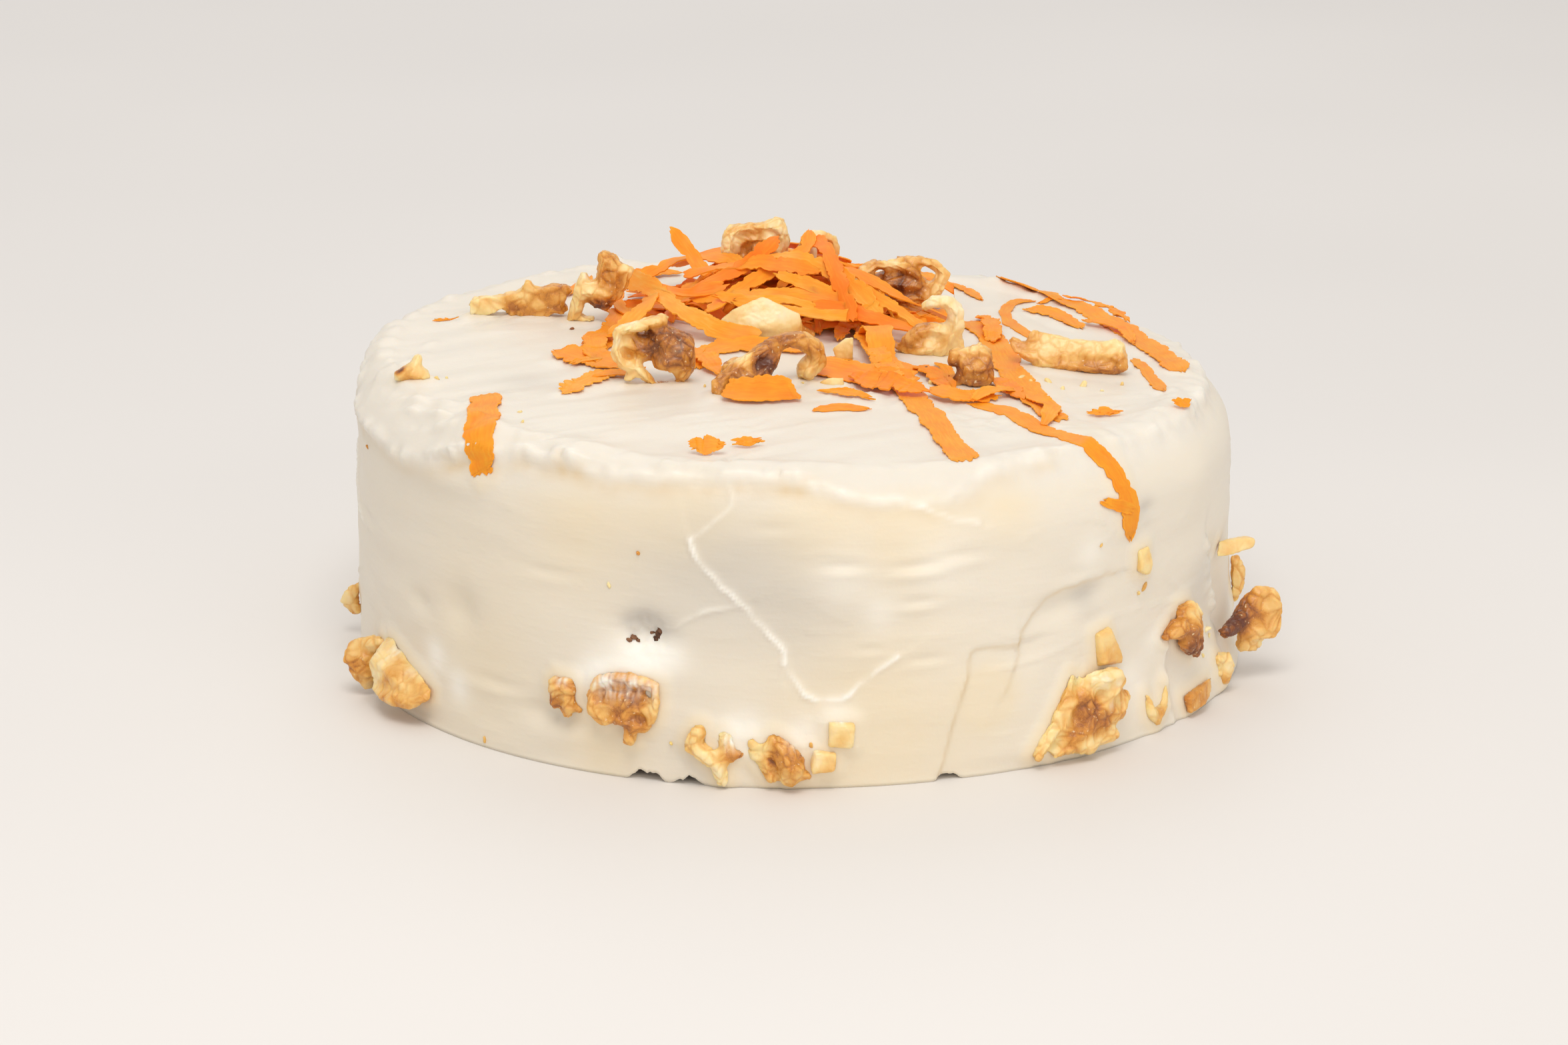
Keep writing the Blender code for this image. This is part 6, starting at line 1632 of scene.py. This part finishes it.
    def build(self) -> bpy.types.Object:
        """Models the heap.

        Returns:
            The mound and its shreds as one piece.
        """
        rng = random.Random(self.seed)
        low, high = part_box("carrot_heap")
        routes = [(w, [Vector(p) for p in route], roll) for w, route, roll in HEAP_SHREDS]
        routes += [self.random_route(rng) for _ in range(self.loose)]
        parts = [self.mound()]
        for i, (width, route, roll) in enumerate(routes):
            if len(route) < 4:
                continue
            path = smooth_path([p * MM for p in route], self.cutter.step)
            ups = []
            for k, point in enumerate(path):
                ahead = (path[min(k + 1, len(path) - 1)] - path[max(k - 1, 0)]).normalized()
                twist = math.radians(roll + 22 * math.sin(2.2 * k / len(path) * math.pi + i))
                side = Vector((-ahead.y, ahead.x, 0)).normalized()
                up = side.cross(ahead).normalized() * -1
                if up.z < 0:
                    up = -up
                ups.append((Matrix.Rotation(twist, 3, ahead) @ up).normalized())
            tint = rng.uniform(-0.26, 0.12)
            fray = rng.uniform(0.25, 0.6)
            curl = rng.uniform(-0.1, 0.22)
            bare = rng.uniform(0.3, 0.8)
            strip = self.cutter.ribbon(
                f"heap_{i}", path, ups, width * MM, fray, curl, tint, bare, i * 1.7,
                lanes=5 if width > self.narrow else 4, clear=False,
            )
            parts.append(strip)
        parts += [self.scrap(rng, i) for i in range(self.scraps)]
        heap = join_all(parts, "grated_carrot_heap")
        points = read_points(heap.data)
        write_points(heap.data, np.clip(points, np.array(low), np.array(high)))
        return heap


# ---------------------------------------------------------------- the walnuts


@dataclass(frozen=True)
class Patch:
    """A painted place on a kernel: right, up and out in mm, its reach in mm, and its tone."""

    place: Point
    reach: float
    tone: float


@dataclass(frozen=True)
class KernelLook:
    """How a kernel looks: its place as in the CAD, its general tone, painted patches and smeared cream.

    wrinkle is how folded it is, turn its heading in degrees, closed how narrow a pit is filled in mm,
    and swell how far it then stands out over its CAD solid.
    """

    node: str
    place: tuple[float, float]
    tone: float
    patches: tuple[Patch, ...] = ()
    cream: tuple[Patch, ...] = ()
    wrinkle: float = 0.5
    turn: float = 0.0
    closed: float = 0.0
    swell: float = 0.0


def patches(*rows: tuple[float, float, float, float, float]) -> tuple[Patch, ...]:
    """Patches from rows of right, up, out, reach and tone."""
    return tuple(Patch(row[:3], row[3], row[4]) for row in rows)


KERNELS = (
    KernelLook(
        "top_long_left", (-65, 26), 0.36,
        patches((-8, 4, 1, 6, 0.24), (-1, 2, 1, 2.5, 0.7), (6, 2, 0, 3, 0.5), (9, 6, 0, 4, 0.62), (2, 8, 1, 3, 0.4)),
    ),
    KernelLook(
        "top_upright_left", (-48.5, 24), 0.34,
        patches((-2, 8, 1, 4, 0.22), (1.5, 5, 1.5, 1.6, 1.0), (-3, 2, 1, 2, 0.4), (6, 12, 0, 4, 0.62),
                (9, 14, 1, 2.2, 0.22), (4, 5, 1, 1.6, 0.9)),
        patches((0, 12, 1, 1.5, 0.5)),
    ),
    KernelLook(
        "top_round_front", (-31, -31), 0.5,
        patches((-8.5, 9, 1, 3.2, 0.14), (-5, 14.5, 1.5, 3.0, 0.12), (1, 16, 1, 2.2, 0.2), (-3, 9.5, -1, 3.4, 0.84),
                (4, 9, 1, 4.4, 0.74), (0, 12, 0, 2.4, 0.8), (-4, 4, 1, 2.6, 0.18), (3, 2, 1, 2.6, 0.5)),
        patches((-6, 15, 2, 1.2, 0.5), (5, 9, 3, 1.0, 0.5), (2, 6, 3, 0.8, 0.5)),
    ),
    KernelLook(
        "top_twisted_front", (-8.2, -30), 0.5,
        patches((-4, 8, 5, 2.6, 0.16), (-5, 3, 7, 4.0, 0.62), (1, 5, 3.5, 2.8, 0.95), (4, 9, 1, 3, 0.66),
                (9, 10, 0, 2.4, 0.62), (13, 7, -3, 2.6, 0.5), (11, 3, -3, 2.6, 0.28), (-9, 2, 10, 2, 0.5)),
        closed=0.6,
        swell=0.45,
    ),
    KernelLook(
        "top_pale_middle", (-7.5, 11), 0.26,
        patches((11, 2, 0, 2.8, 0.66), (-7, 5, 2, 4, 0.28), (4, 9, 3, 4, 0.16), (4, 3, 4, 3, 0.3), (-3, 9, 3, 3, 0.2)),
        wrinkle=0.12,
    ),
    KernelLook(
        "top_back_left", (-10.5, 47), 0.34,
        patches((-6, 7, 4, 4.4, 0.14), (-5, 11, 3, 1.6, 0.6), (1, 6, 1, 2.8, 0.62), (2, 9, 3, 2.2, 0.5), (7, 8, 2, 3.6, 0.2),
                (3, 3, 2, 2.4, 0.6)),
    ),
    KernelLook(
        "top_back_middle", (3.5, 45), 0.22,
        patches((-2.5, 4, 1, 2.2, 0.7), (1, 5, 1, 2.4, 0.1), (6, 6, 0, 2.4, 0.36)),
        wrinkle=0.3,
    ),
    KernelLook(
        "top_back_right", (24, 36), 0.42,
        patches((0, 5.5, 1, 4, 0.8), (4, 5, 1, 3, 0.72), (0, 10, 2, 2.2, 0.12), (-7, 6, 2, 2.6, 0.3),
                (11, 6, 0, 3.4, 0.32), (-11.5, 5, 1, 2.4, 0.16), (-12.6, 6.4, 1, 0.9, 1.0)),
    ),
    KernelLook(
        "top_horn_right", (33.5, 1), 0.3,
        patches((3, 11, 1, 4.5, 0.1), (0, 14, 1, 2.6, 0.1), (1, 5, 2, 3, 0.3), (-1.5, 8, 0, 2, 0.72),
                (-6, 5, 1, 3, 0.56), (-10, 4, 0, 2, 0.7)),
        wrinkle=0.35,
    ),
    KernelLook(
        "top_amber_right", (40, -24), 0.56,
        patches((2, 5, 2, 3.4, 0.62), (-1, 9, 1, 2, 0.3), (2, 10, 1, 2, 0.24), (-4, 4, 1, 1.6, 0.95)),
    ),
    KernelLook(
        "top_long_right", (64, -5), 0.4,
        patches((-10, 5, 1, 3, 0.5), (-7, 6, 2, 3, 0.34), (2, 7, 2, 4, 0.16), (8, 7, 1, 3, 0.18),
                (2, 2.5, 3, 4, 0.66), (9, 2.5, 2, 3, 0.66)),
        wrinkle=0.35, turn=-12,
    ),
    KernelLook("top_chip_far_left", (-85.5, -31), 0.26, patches((-3, 3, 1, 1.0, 1.0), (0, 1, 2, 1.6, 0.5)), wrinkle=0.2),
    KernelLook("top_chip_front", (8, -29.5), 0.34, patches((-3, 1, 1, 1.8, 0.46)), wrinkle=0.1),
    KernelLook("top_chip_middle", (11.6, -7), 0.22, patches((0, 0, 1, 2.4, 0.5)), wrinkle=0.1),
    KernelLook(
        "side_edge_left", (-68, 0.5), 0.42,
        patches((0, 12, 4, 3, 0.3), (0, 6, 7, 2.4, 0.62), (0, 2, 4, 2.4, 0.4)),
    ),
    KernelLook("side_edge_left_high", (-92, 4), 0.44, patches((0, 6, 4, 2, 0.3))),
    KernelLook(
        "side_flat_left", (-59, 3), 0.3,
        patches((-6, 9, 6, 4, 0.2), (2, 9, 5, 2.6, 0.46), (6, 7, 4, 2.6, 0.42), (4, 2.4, 6, 4.5, 0.5), (11, 4, 3, 3, 0.46)),
        patches((-2, 13, 2, 2.4, 0.8), (6, 10, 2, 2, 0.5)),
        wrinkle=0.34,
    ),
    KernelLook(
        "side_small_left", (-29, 11), 0.54,
        patches((0, 8, 3, 2.4, 0.4), (-2, 4, 2, 1.8, 0.7), (1.5, 3, 2, 2.2, 0.44)),
        patches((0, 10.5, 2, 1.6, 0.8)),
    ),
    KernelLook(
        "side_smeared", (-20.7, 7.6), 0.44,
        patches((0, 9, 2, 4, 0.66), (-4, 6, 4, 3, 0.4), (2, 6, 4, 2.2, 0.7), (1, 2, 3, 2.4, 0.46), (7, 9, 3, 2.4, 0.3)),
        patches((-4, 14.5, 3, 3.0, 1.0), (2, 14.5, 4, 2.6, 1.0), (-1, 12.4, 3, 1.4, 0.7), (6, 14, 3, 2.2, 0.8)),
    ),
    KernelLook(
        "side_forked", (-8.8, 0.4), 0.24,
        patches((-5, 11, 3, 3, 0.34), (1.5, 8, 3, 2, 0.44), (4, 7.5, 2, 1.6, 0.6), (0, 3, 3, 3, 0.16)),
        patches((3, 11, 2, 2.0, 0.8)),
    ),
    KernelLook(
        "side_curled_foot", (-1.6, 0.4), 0.5,
        patches((-5.5, 8, 2, 2.6, 0.22), (2, 8, 4, 3, 0.6), (3, 4, 4, 3, 0.4), (-1, 7, 2, 1.4, 0.85), (0, 2, 4, 2, 0.34)),
        patches((3, 11, 2, 1.8, 0.6)),
    ),
    KernelLook("side_square_chip", (5.6, 9.4), 0.26, patches((0, 5, 2, 2, 0.34)), patches((0, 6.4, 1, 1.4, 0.7)), 0.1),
    KernelLook("side_square_chip_low", (3.4, 4.0), 0.28, patches((2, 1, 2, 2, 0.4)), patches((-2, 4.5, 1, 1.4, 0.6)), 0.1),
    KernelLook(
        "side_large_right", (37, 0.6), 0.4,
        patches((-9, 6, 2, 3, 0.2), (-5, 12, 2, 3, 0.3), (-2, 18, 2, 2, 0.24), (0, 11, 3, 3.8, 0.74),
                (-3, 6, 3, 2.4, 0.6), (3, 7, 3, 2.6, 0.66), (5, 17, 5, 4.2, 0.12), (10, 16, 4, 2.6, 0.42),
                (11, 10, 3, 3, 0.46), (-6, 3, 3, 2.6, 0.4), (1, 2.6, 5, 2.6, 0.2), (8, 3.6, 4, 2.4, 0.3)),
        patches((4, 18, 5.5, 1.0, 0.5), (8, 16, 5, 0.8, 0.5), (6, 11, 4.5, 1.0, 0.4)),
        closed=0.7,
    ),
    KernelLook("side_wedge_right", (41.5, 18.6), 0.36, patches((3, 2, 2, 3, 0.46)), wrinkle=0.12),
    KernelLook("side_narrow_right", (51, 0.7), 0.34, patches((0, 2, 2, 2, 0.5), (-3, 6, 1, 2, 0.3)), patches((0, 7, 1, 1.6, 1.0)), 0.3, closed=1.7),
    KernelLook("side_low_right", (60, 0.6), 0.56, patches((-3, 4, 2, 3, 0.62), (5, 4, 1, 2.0, 0.3)), wrinkle=0.25),
    KernelLook(
        "side_fan_right", (57, 12.2), 0.58,
        patches((-4, 9, 4, 3.0, 0.56), (1, 5, 5, 2.4, 0.8), (3, 13, 4, 2.2, 0.2), (5, 6, 5, 2.2, 0.66), (4, 2, 4, 2.6, 0.84),
                (1, 9, 5, 2.6, 0.62)),
    ),
    KernelLook(
        "side_large_edge_right", (75, 5.5), 0.5,
        patches((-6, 8, 3, 4, 0.95), (0, 11, 6, 3, 0.72), (2, 14, 10, 3, 0.34), (2, 8, 11, 3, 0.44),
                (-1, 5, 6, 3, 0.24), (-2, 3, 5, 3, 0.3)),
    ),
    KernelLook("side_under_edge_right", (68, 0.8), 0.36, patches((1, 6, 3, 2.4, 0.24), (1, 3, 2, 2, 0.44))),
    KernelLook("side_shelf_right", (73, 30), 0.28, patches((-5, 2, 1, 2, 0.3)), wrinkle=0.12),
    KernelLook("side_behind_edge_right", (90, 8.6), 0.56, patches((0, 9, 3, 2.6, 0.4), (0, 3, 2, 2.4, 0.3))),
    KernelLook("side_sliver_right", (48, 36.6), 0.32, wrinkle=0.1),
    KernelLook("side_back_a", (110, 2), 0.44, patches((-3, 11, 3, 3, 0.2), (1, 7, 4, 3, 0.7), (4, 6, 3, 3, 0.36))),
    KernelLook("side_back_b", (131, 0.6), 0.3, patches((-5, 3, 2, 3, 0.46), (4, 6, 3, 3, 0.2)), wrinkle=0.25),
    KernelLook("side_back_c", (152, 6), 0.46, patches((-3, 11, 2, 3, 0.28), (0, 7, 1, 3, 0.8), (3, 5, 3, 2.6, 0.4))),
    KernelLook("side_back_d", (183, 1), 0.42, patches((-5, 12, 2, 3, 0.18), (0, 8, 1, 4, 0.74), (6, 9, 3, 3, 0.34))),
    KernelLook("side_back_e", (212, 8), 0.4, patches((-3, 6, 3, 3, 0.3), (3, 6, 3, 3, 0.56), (1, 2, 2, 2.4, 0.2))),
    KernelLook("side_back_f", (244, 1.5), 0.46, patches((-3, 6, 3, 3, 0.64), (1, 12, 2, 3, 0.2), (5, 7, 3, 3, 0.4))),
)


@dataclass
class WalnutKernel:
    """One broken kernel: the CAD solid's form with the folds, veins and breaks of a real one."""

    look: KernelLook
    voxel: float = 0.32 * MM
    fold_mm: float = 3.0
    lobe_mm: float = 3.4
    fold_depth: float = 0.7
    lump_depth: float = 1.5
    rough_depth: float = 0.12

    def frame(self) -> Matrix:
        """The kernel's own frame: right, up and out, from its place on the top or on the side."""
        low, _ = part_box("walnut_" + self.look.node)
        if self.look.node.startswith("top"):
            turn = Matrix.Rotation(math.radians(self.look.turn), 3, "Z")
            axes = [turn @ Vector(v) for v in ((1, 0, 0), (0, 0, 1), (0, -1, 0))]
            origin = Vector((self.look.place[0] * MM, self.look.place[1] * MM, low[2]))
        else:
            angle = math.radians(self.look.place[0])
            out = direction(angle)
            axes = [Vector((math.cos(angle), math.sin(angle), 0)), Vector((0, 0, 1)), out]
            origin = out * 101.5 * MM + Vector((0, 0, self.look.place[1] * MM))
        return Matrix.Translation(origin) @ Matrix(axes).transposed().to_4x4()

    def build(self, node: bpy.types.Object) -> bpy.types.Object:
        """Models the kernel from a copy of its CAD mesh.

        Args:
            node: the CAD node.

        Returns:
            The kernel's piece.
        """
        kernel = bpy.data.objects.new("kernel_" + self.look.node, node.data.copy())
        bpy.context.scene.collection.objects.link(kernel)
        pick(kernel)
        bpy.ops.object.mode_set(mode="EDIT")
        bpy.ops.mesh.select_all(action="SELECT")
        bpy.ops.mesh.remove_doubles(threshold=0.005 * MM)
        bpy.ops.object.mode_set(mode="OBJECT")
        apply_modifier(kernel, "REMESH", mode="VOXEL", voxel_size=self.voxel)
        if self.look.closed:
            # Swelled, joined and shrunk again, the narrow pits between its lobes are filled
            for strength in (self.look.closed * MM, (self.look.swell - self.look.closed) * MM):
                apply_modifier(kernel, "DISPLACE", strength=strength, mid_level=0.0)
                apply_modifier(kernel, "REMESH", mode="VOXEL", voxel_size=self.voxel)
        apply_modifier(kernel, "SMOOTH", factor=0.5, iterations=5)
        self.fold(kernel)
        self.paint(kernel)
        return kernel

    def fold(self, kernel: bpy.types.Object) -> None:
        """Presses folds and small breaks into the surface."""
        points, normals = read_points(kernel.data), read_normals(kernel.data)
        low, high = (np.array(v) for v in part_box("walnut_" + self.look.node))
        self.grooves = np.zeros(len(points))
        for i, point in enumerate(points):
            place = Vector(point) / MM
            warp = noise.noise_vector(place / 5.0) * 1.8
            fold = max(0.0, 1 - abs(noise.noise((place + warp) / self.fold_mm)) / 0.18)
            near, next_near = noise.voronoi((place + warp) / self.lobe_mm)[0][:2]
            lobe = max(0.0, 1 - (next_near - near) / 0.32)
            groove = max(0.6 * fold, lobe)
            lump = max(0.0, noise.noise(place / 4.2 + Vector((7, 1, 3))) - 0.05)
            rough = noise.noise(place / 0.9) + 0.5 * noise.noise(place / 0.45)
            depth = self.look.wrinkle * (self.fold_depth * groove**1.4 + self.lump_depth * lump)
            points[i] = point - normals[i] * (depth + self.rough_depth * (0.5 - rough) * 0.7) * MM
            self.grooves[i] = groove
        write_points(kernel.data, np.clip(points, low, high))

    def paint(self, kernel: bpy.types.Object) -> None:
        """Stores the tone of the skin or flesh, and where cream is smeared over it."""
        inverse = self.frame().inverted()
        tones, creams = [], []
        for i, vertex in enumerate(kernel.data.vertices):
            local = inverse @ vertex.co / MM
            total, weight = self.look.tone * 0.35, 0.35
            for patch in self.look.patches:
                near = bump((local - Vector(patch.place)).length / patch.reach * 1.05) * 3.6
                total += patch.tone * near
                weight += near
            tone = 0.42 + 1.15 * (total / weight - 0.46) + 0.16 * self.grooves[i] * min(1.0, self.look.wrinkle * 2)
            tone += 0.16 * noise.noise(vertex.co / (3.4 * MM))
            tones.append(max(0.0, min(1.0, tone)))
            smear = 0.0
            for patch in self.look.cream:
                streak = 0.6 + 0.9 * noise.noise(Vector((local.x / 0.8, local.y / 2.4, local.z / 2)))
                smear = max(smear, patch.tone * streak * bump((local - Vector(patch.place)).length / patch.reach) * 1.5)
            creams.append(max(0.0, min(1.0, smear)))
        write_attribute(kernel.data, "tone", tones)
        write_attribute(kernel.data, "cream", creams)


# ---------------------------------------------------------------- small scraps


# Crumbs of walnut: on the top x and y, on the side angle and height, then size in mm and tone
CRUMBS_ON_TOP = (
    (-60, -57, 0.9, 0.2),
    (-59, -65, 0.9, 0.25),
    (-84, -25, 1.4, 0.9),
    (-80, -31, 1.2, 0.3),
    (-78, -29, 0.8, 0.2),
    (-52, 18, 1.3, 0.9),
    (-44, 17, 1.0, 0.8),
    (-24, -27, 0.9, 0.2),
    (-20, -33, 0.8, 0.3),
    (-14, -35, 1.2, 0.9),
    (2, -29, 1.0, 0.2),
    (5, -22, 1.1, 0.3),
    (26, -10, 2.0, 1.0),
    (30, -13, 1.8, 1.0),
    (31, -23, 1.6, 0.3),
    (34, -31, 1.5, 0.5),
    (46, -17, 1.4, 0.2),
    (52, -15, 1.8, 0.25),
    (54, -19, 1.4, 0.2),
    (58, -16, 1.6, 0.3),
    (61, -21, 1.2, 0.2),
    (66, -17, 1.8, 0.2),
    (70, -20, 1.0, 0.15),
    (75, -14, 1.2, 0.3),
    (55, -32, 0.9, 0.1),
    (67, -38, 1.0, 0.4),
    (22, 26, 1.4, 0.3),
    (36, 30, 1.3, 0.4),
    (-20, 46, 1.0, 0.2),
)
CRUMBS_ON_SIDE = (
    (-19.1, 51, 1.2, 0.6),
    (-22.9, 43, 1.1, 0.15),
    (-69.9, 57, 0.9, 0.6),
    (40.7, 47, 1.0, 0.4),
    (49.2, 34, 1.5, 0.5),
    (48.2, 33, 1.0, 0.3),
    (-42, 2, 1.2, 0.4),
    (66, 16, 1.6, 0.1),
    (67, 14, 1.2, 0.1),
    (64, 11, 1.1, 0.2),
    (41, 10, 1.2, 0.1),
    (35, 5, 1.0, 0.2),
    (-15, 9, 1.2, 0.3),
    (2, 10, 1.0, 0.5),
    (112, 16, 1.2, 0.3),
    (150, 22, 1.1, 0.5),
    (186, 18, 1.3, 0.2),
    (215, 20, 1.0, 0.4),
    (248, 18, 1.2, 0.3),
)


@dataclass
class Scraps:
    """Carrot flakes and walnut crumbs that lie on the coat."""

    cutter: GratedCarrot

    def flakes(self) -> bpy.types.Object:
        """Models the flakes: short torn pieces of shred.

        Returns:
            All flakes as one piece.
        """
        rows = (
            (-19, -83, 7.0, 5.6, 0, 50),
            (-10, -77, 5.4, 4.0, 10, 45),
            (69, -42, 6.0, 4.2, 5, 24),
            (87, -37, 4.8, 4.0, 30, 50),
            (-40, 74, 5.5, 3.6, 130, 10),
            (10, 88, 5.0, 3.4, 80, 10),
            (-82, 22, 4.4, 3.0, 15, 10),
        )
        parts = []
        for i, (x, y, length, width, turn, lean) in enumerate(rows):
            way = Vector((math.cos(math.radians(turn)), math.sin(math.radians(turn)), 0))
            middle = Vector((x, y, 75))
            route = [(middle + way * length * s) * MM for s in (-0.5, -0.2, 0.2, 0.5)]
            centres, ups = [], []
            for point in smooth_path(route, self.cutter.step):
                place, normal, _, _ = self.cutter.coat.tree.find_nearest(point - Vector((0, 0, 6 * MM)))
                centres.append(place - normal * 0.1 * MM)
                ups.append(normal)
            parts.append(
                self.cutter.ribbon(f"flake_{i}", centres, ups, width * MM, 0.9, 0.1, 0.0, 0.35, i * 2.3, lean)
            )
        return join_all(parts, "carrot_flakes")


    def crumbs(self) -> bpy.types.Object:
        """Models the walnut crumbs that fell off the kernels.

        Returns:
            All crumbs as one piece.
        """
        spots = [(Vector((x, y, 120)), Vector((0, 0, -1)), size, tone) for x, y, size, tone in CRUMBS_ON_TOP]
        for turn, height, size, tone in CRUMBS_ON_SIDE:
            out = direction(math.radians(turn))
            spots.append((out * 130 + Vector((0, 0, height)), -out, size, tone))
        parts = []
        for i, (start, way, size, tone) in enumerate(spots):
            place = self.cutter.coat.tree.ray_cast(start * MM, way)[0]
            deselect()
            bpy.ops.mesh.primitive_ico_sphere_add(subdivisions=3, radius=size * MM / 2, location=place)
            crumb = bpy.context.object
            crumb.rotation_euler = (i * 0.7, i * 1.3, i * 2.1)
            crumb.scale = (1.3, 0.8, 0.7)
            bpy.ops.object.transform_apply(location=True, rotation=True, scale=True)
            points = read_points(crumb.data)
            middle = np.array(place)
            for k, point in enumerate(points):
                lump = noise.noise(Vector(point) / (0.7 * size * MM))
                points[k] = middle + (point - middle) * (1 + 0.6 * lump)
            write_points(crumb.data, points)
            write_attribute(crumb.data, "tone", [tone] * len(points))
            write_attribute(crumb.data, "cream", [0.0] * len(points))
            parts.append(crumb)
        return join_all(parts, "walnut_crumbs")


# ---------------------------------------------------------------- studio


@dataclass
class Studio:
    """The floor, the soft lights and the camera."""

    lens: float = 102.87
    place: Point = (-2.2, -1003.0, 332.5)
    pitch: float = 16.85
    sky: str = "#F2EFEB"
    sky_strength: float = 0.76

    def camera(self) -> None:
        """Adds the camera at the photograph's viewing angle."""
        deselect()
        turned = (math.radians(90 - self.pitch), 0, 0)
        bpy.ops.object.camera_add(location=Vector(self.place) * MM, rotation=turned)
        made = bpy.context.object
        made.name = "studio_camera"
        made.data.sensor_width = 36
        made.data.lens = self.lens
        made.data.clip_start = 10 * MM
        bpy.context.scene.camera = made

    def floor(self) -> None:
        """Adds the plain pale floor."""
        deselect()
        bpy.ops.mesh.primitive_plane_add(size=12, location=(0, 2, -0.05 * MM))
        made = bpy.context.object
        made.name = "studio_floor"
        made.data.materials.append(PaintedFloor().material())

    def lights(self) -> None:
        """Adds three soft boxes and an even sky."""
        rows = (
            ("key", (-0.05, -0.7, 1.3), 0.7, 8.4, "#FFFAF2"),
            ("fill", (0.9, -1.3, 0.55), 1.1, 4.6, "#FFFDFA"),
            ("back", (-0.2, 1.1, 1.2), 1.0, 3.0, "#FFFFFF"),
        )
        for name, place, size, power, colour in rows:
            deselect()
            aim = (Vector((0, 0, 0.04)) - Vector(place)).to_track_quat("-Z", "Y")
            bpy.ops.object.light_add(type="AREA", location=place, rotation=aim.to_euler())
            made = bpy.context.object
            made.name = "soft_box_" + name
            made.data.size = size
            made.data.energy = power
            made.data.color = linear(colour)[:3]
        world = bpy.data.worlds.new("studio")
        bpy.context.scene.world = world
        world.use_nodes = True
        background = world.node_tree.nodes["Background"]
        background.inputs["Color"].default_value = linear(self.sky)
        background.inputs["Strength"].default_value = self.sky_strength
        bpy.context.scene.view_settings.view_transform = "Standard"


def main() -> None:
    """Builds the studio and the cake in order."""
    logging.basicConfig(level=logging.INFO, format="%(name)s %(message)s")
    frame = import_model()

    studio = Studio()
    studio.camera()
    studio.floor()
    studio.lights()

    carrot = CarrotFlesh().material()
    walnut = WalnutKernelFinish().material()
    crumb = BakedSponge().material()

    coat = CreamCoat()
    finish_piece(coat.build(frame), CreamCheeseFrosting().material(), ["frosting"])
    sponge = SpongeCake()
    finish_piece(sponge.build(), crumb, ["sponge"], 40)
    finish_piece(sponge.specks(coat), crumb)

    cutter = GratedCarrot(coat)
    finish_piece(CarrotHeap(replace(cutter, step=0.5 * MM, taper_mm=2.4)).build(), carrot, ["carrot_heap"], 50)
    for i, shred in enumerate(LOOSE_SHREDS):
        node = "carrot_shred_" + shred.node
        finish_piece(cutter.lay(shred, frame["nodes"][node], i * 3.1), carrot, [node], 50)
    finish_piece(cutter.prong(), carrot, crisp_angle=50)
    finish_piece(cutter.strew(FINE_SHREDS, "fine_shreds"), carrot, crisp_angle=50)
    scraps = Scraps(cutter)
    finish_piece(scraps.flakes(), carrot, crisp_angle=50)
    finish_piece(scraps.crumbs(), walnut)

    for look in KERNELS:
        node = "walnut_" + look.node
        finish_piece(WalnutKernel(look).build(frame["nodes"][node]), walnut, [node])


if __name__ == "__main__":
    main()
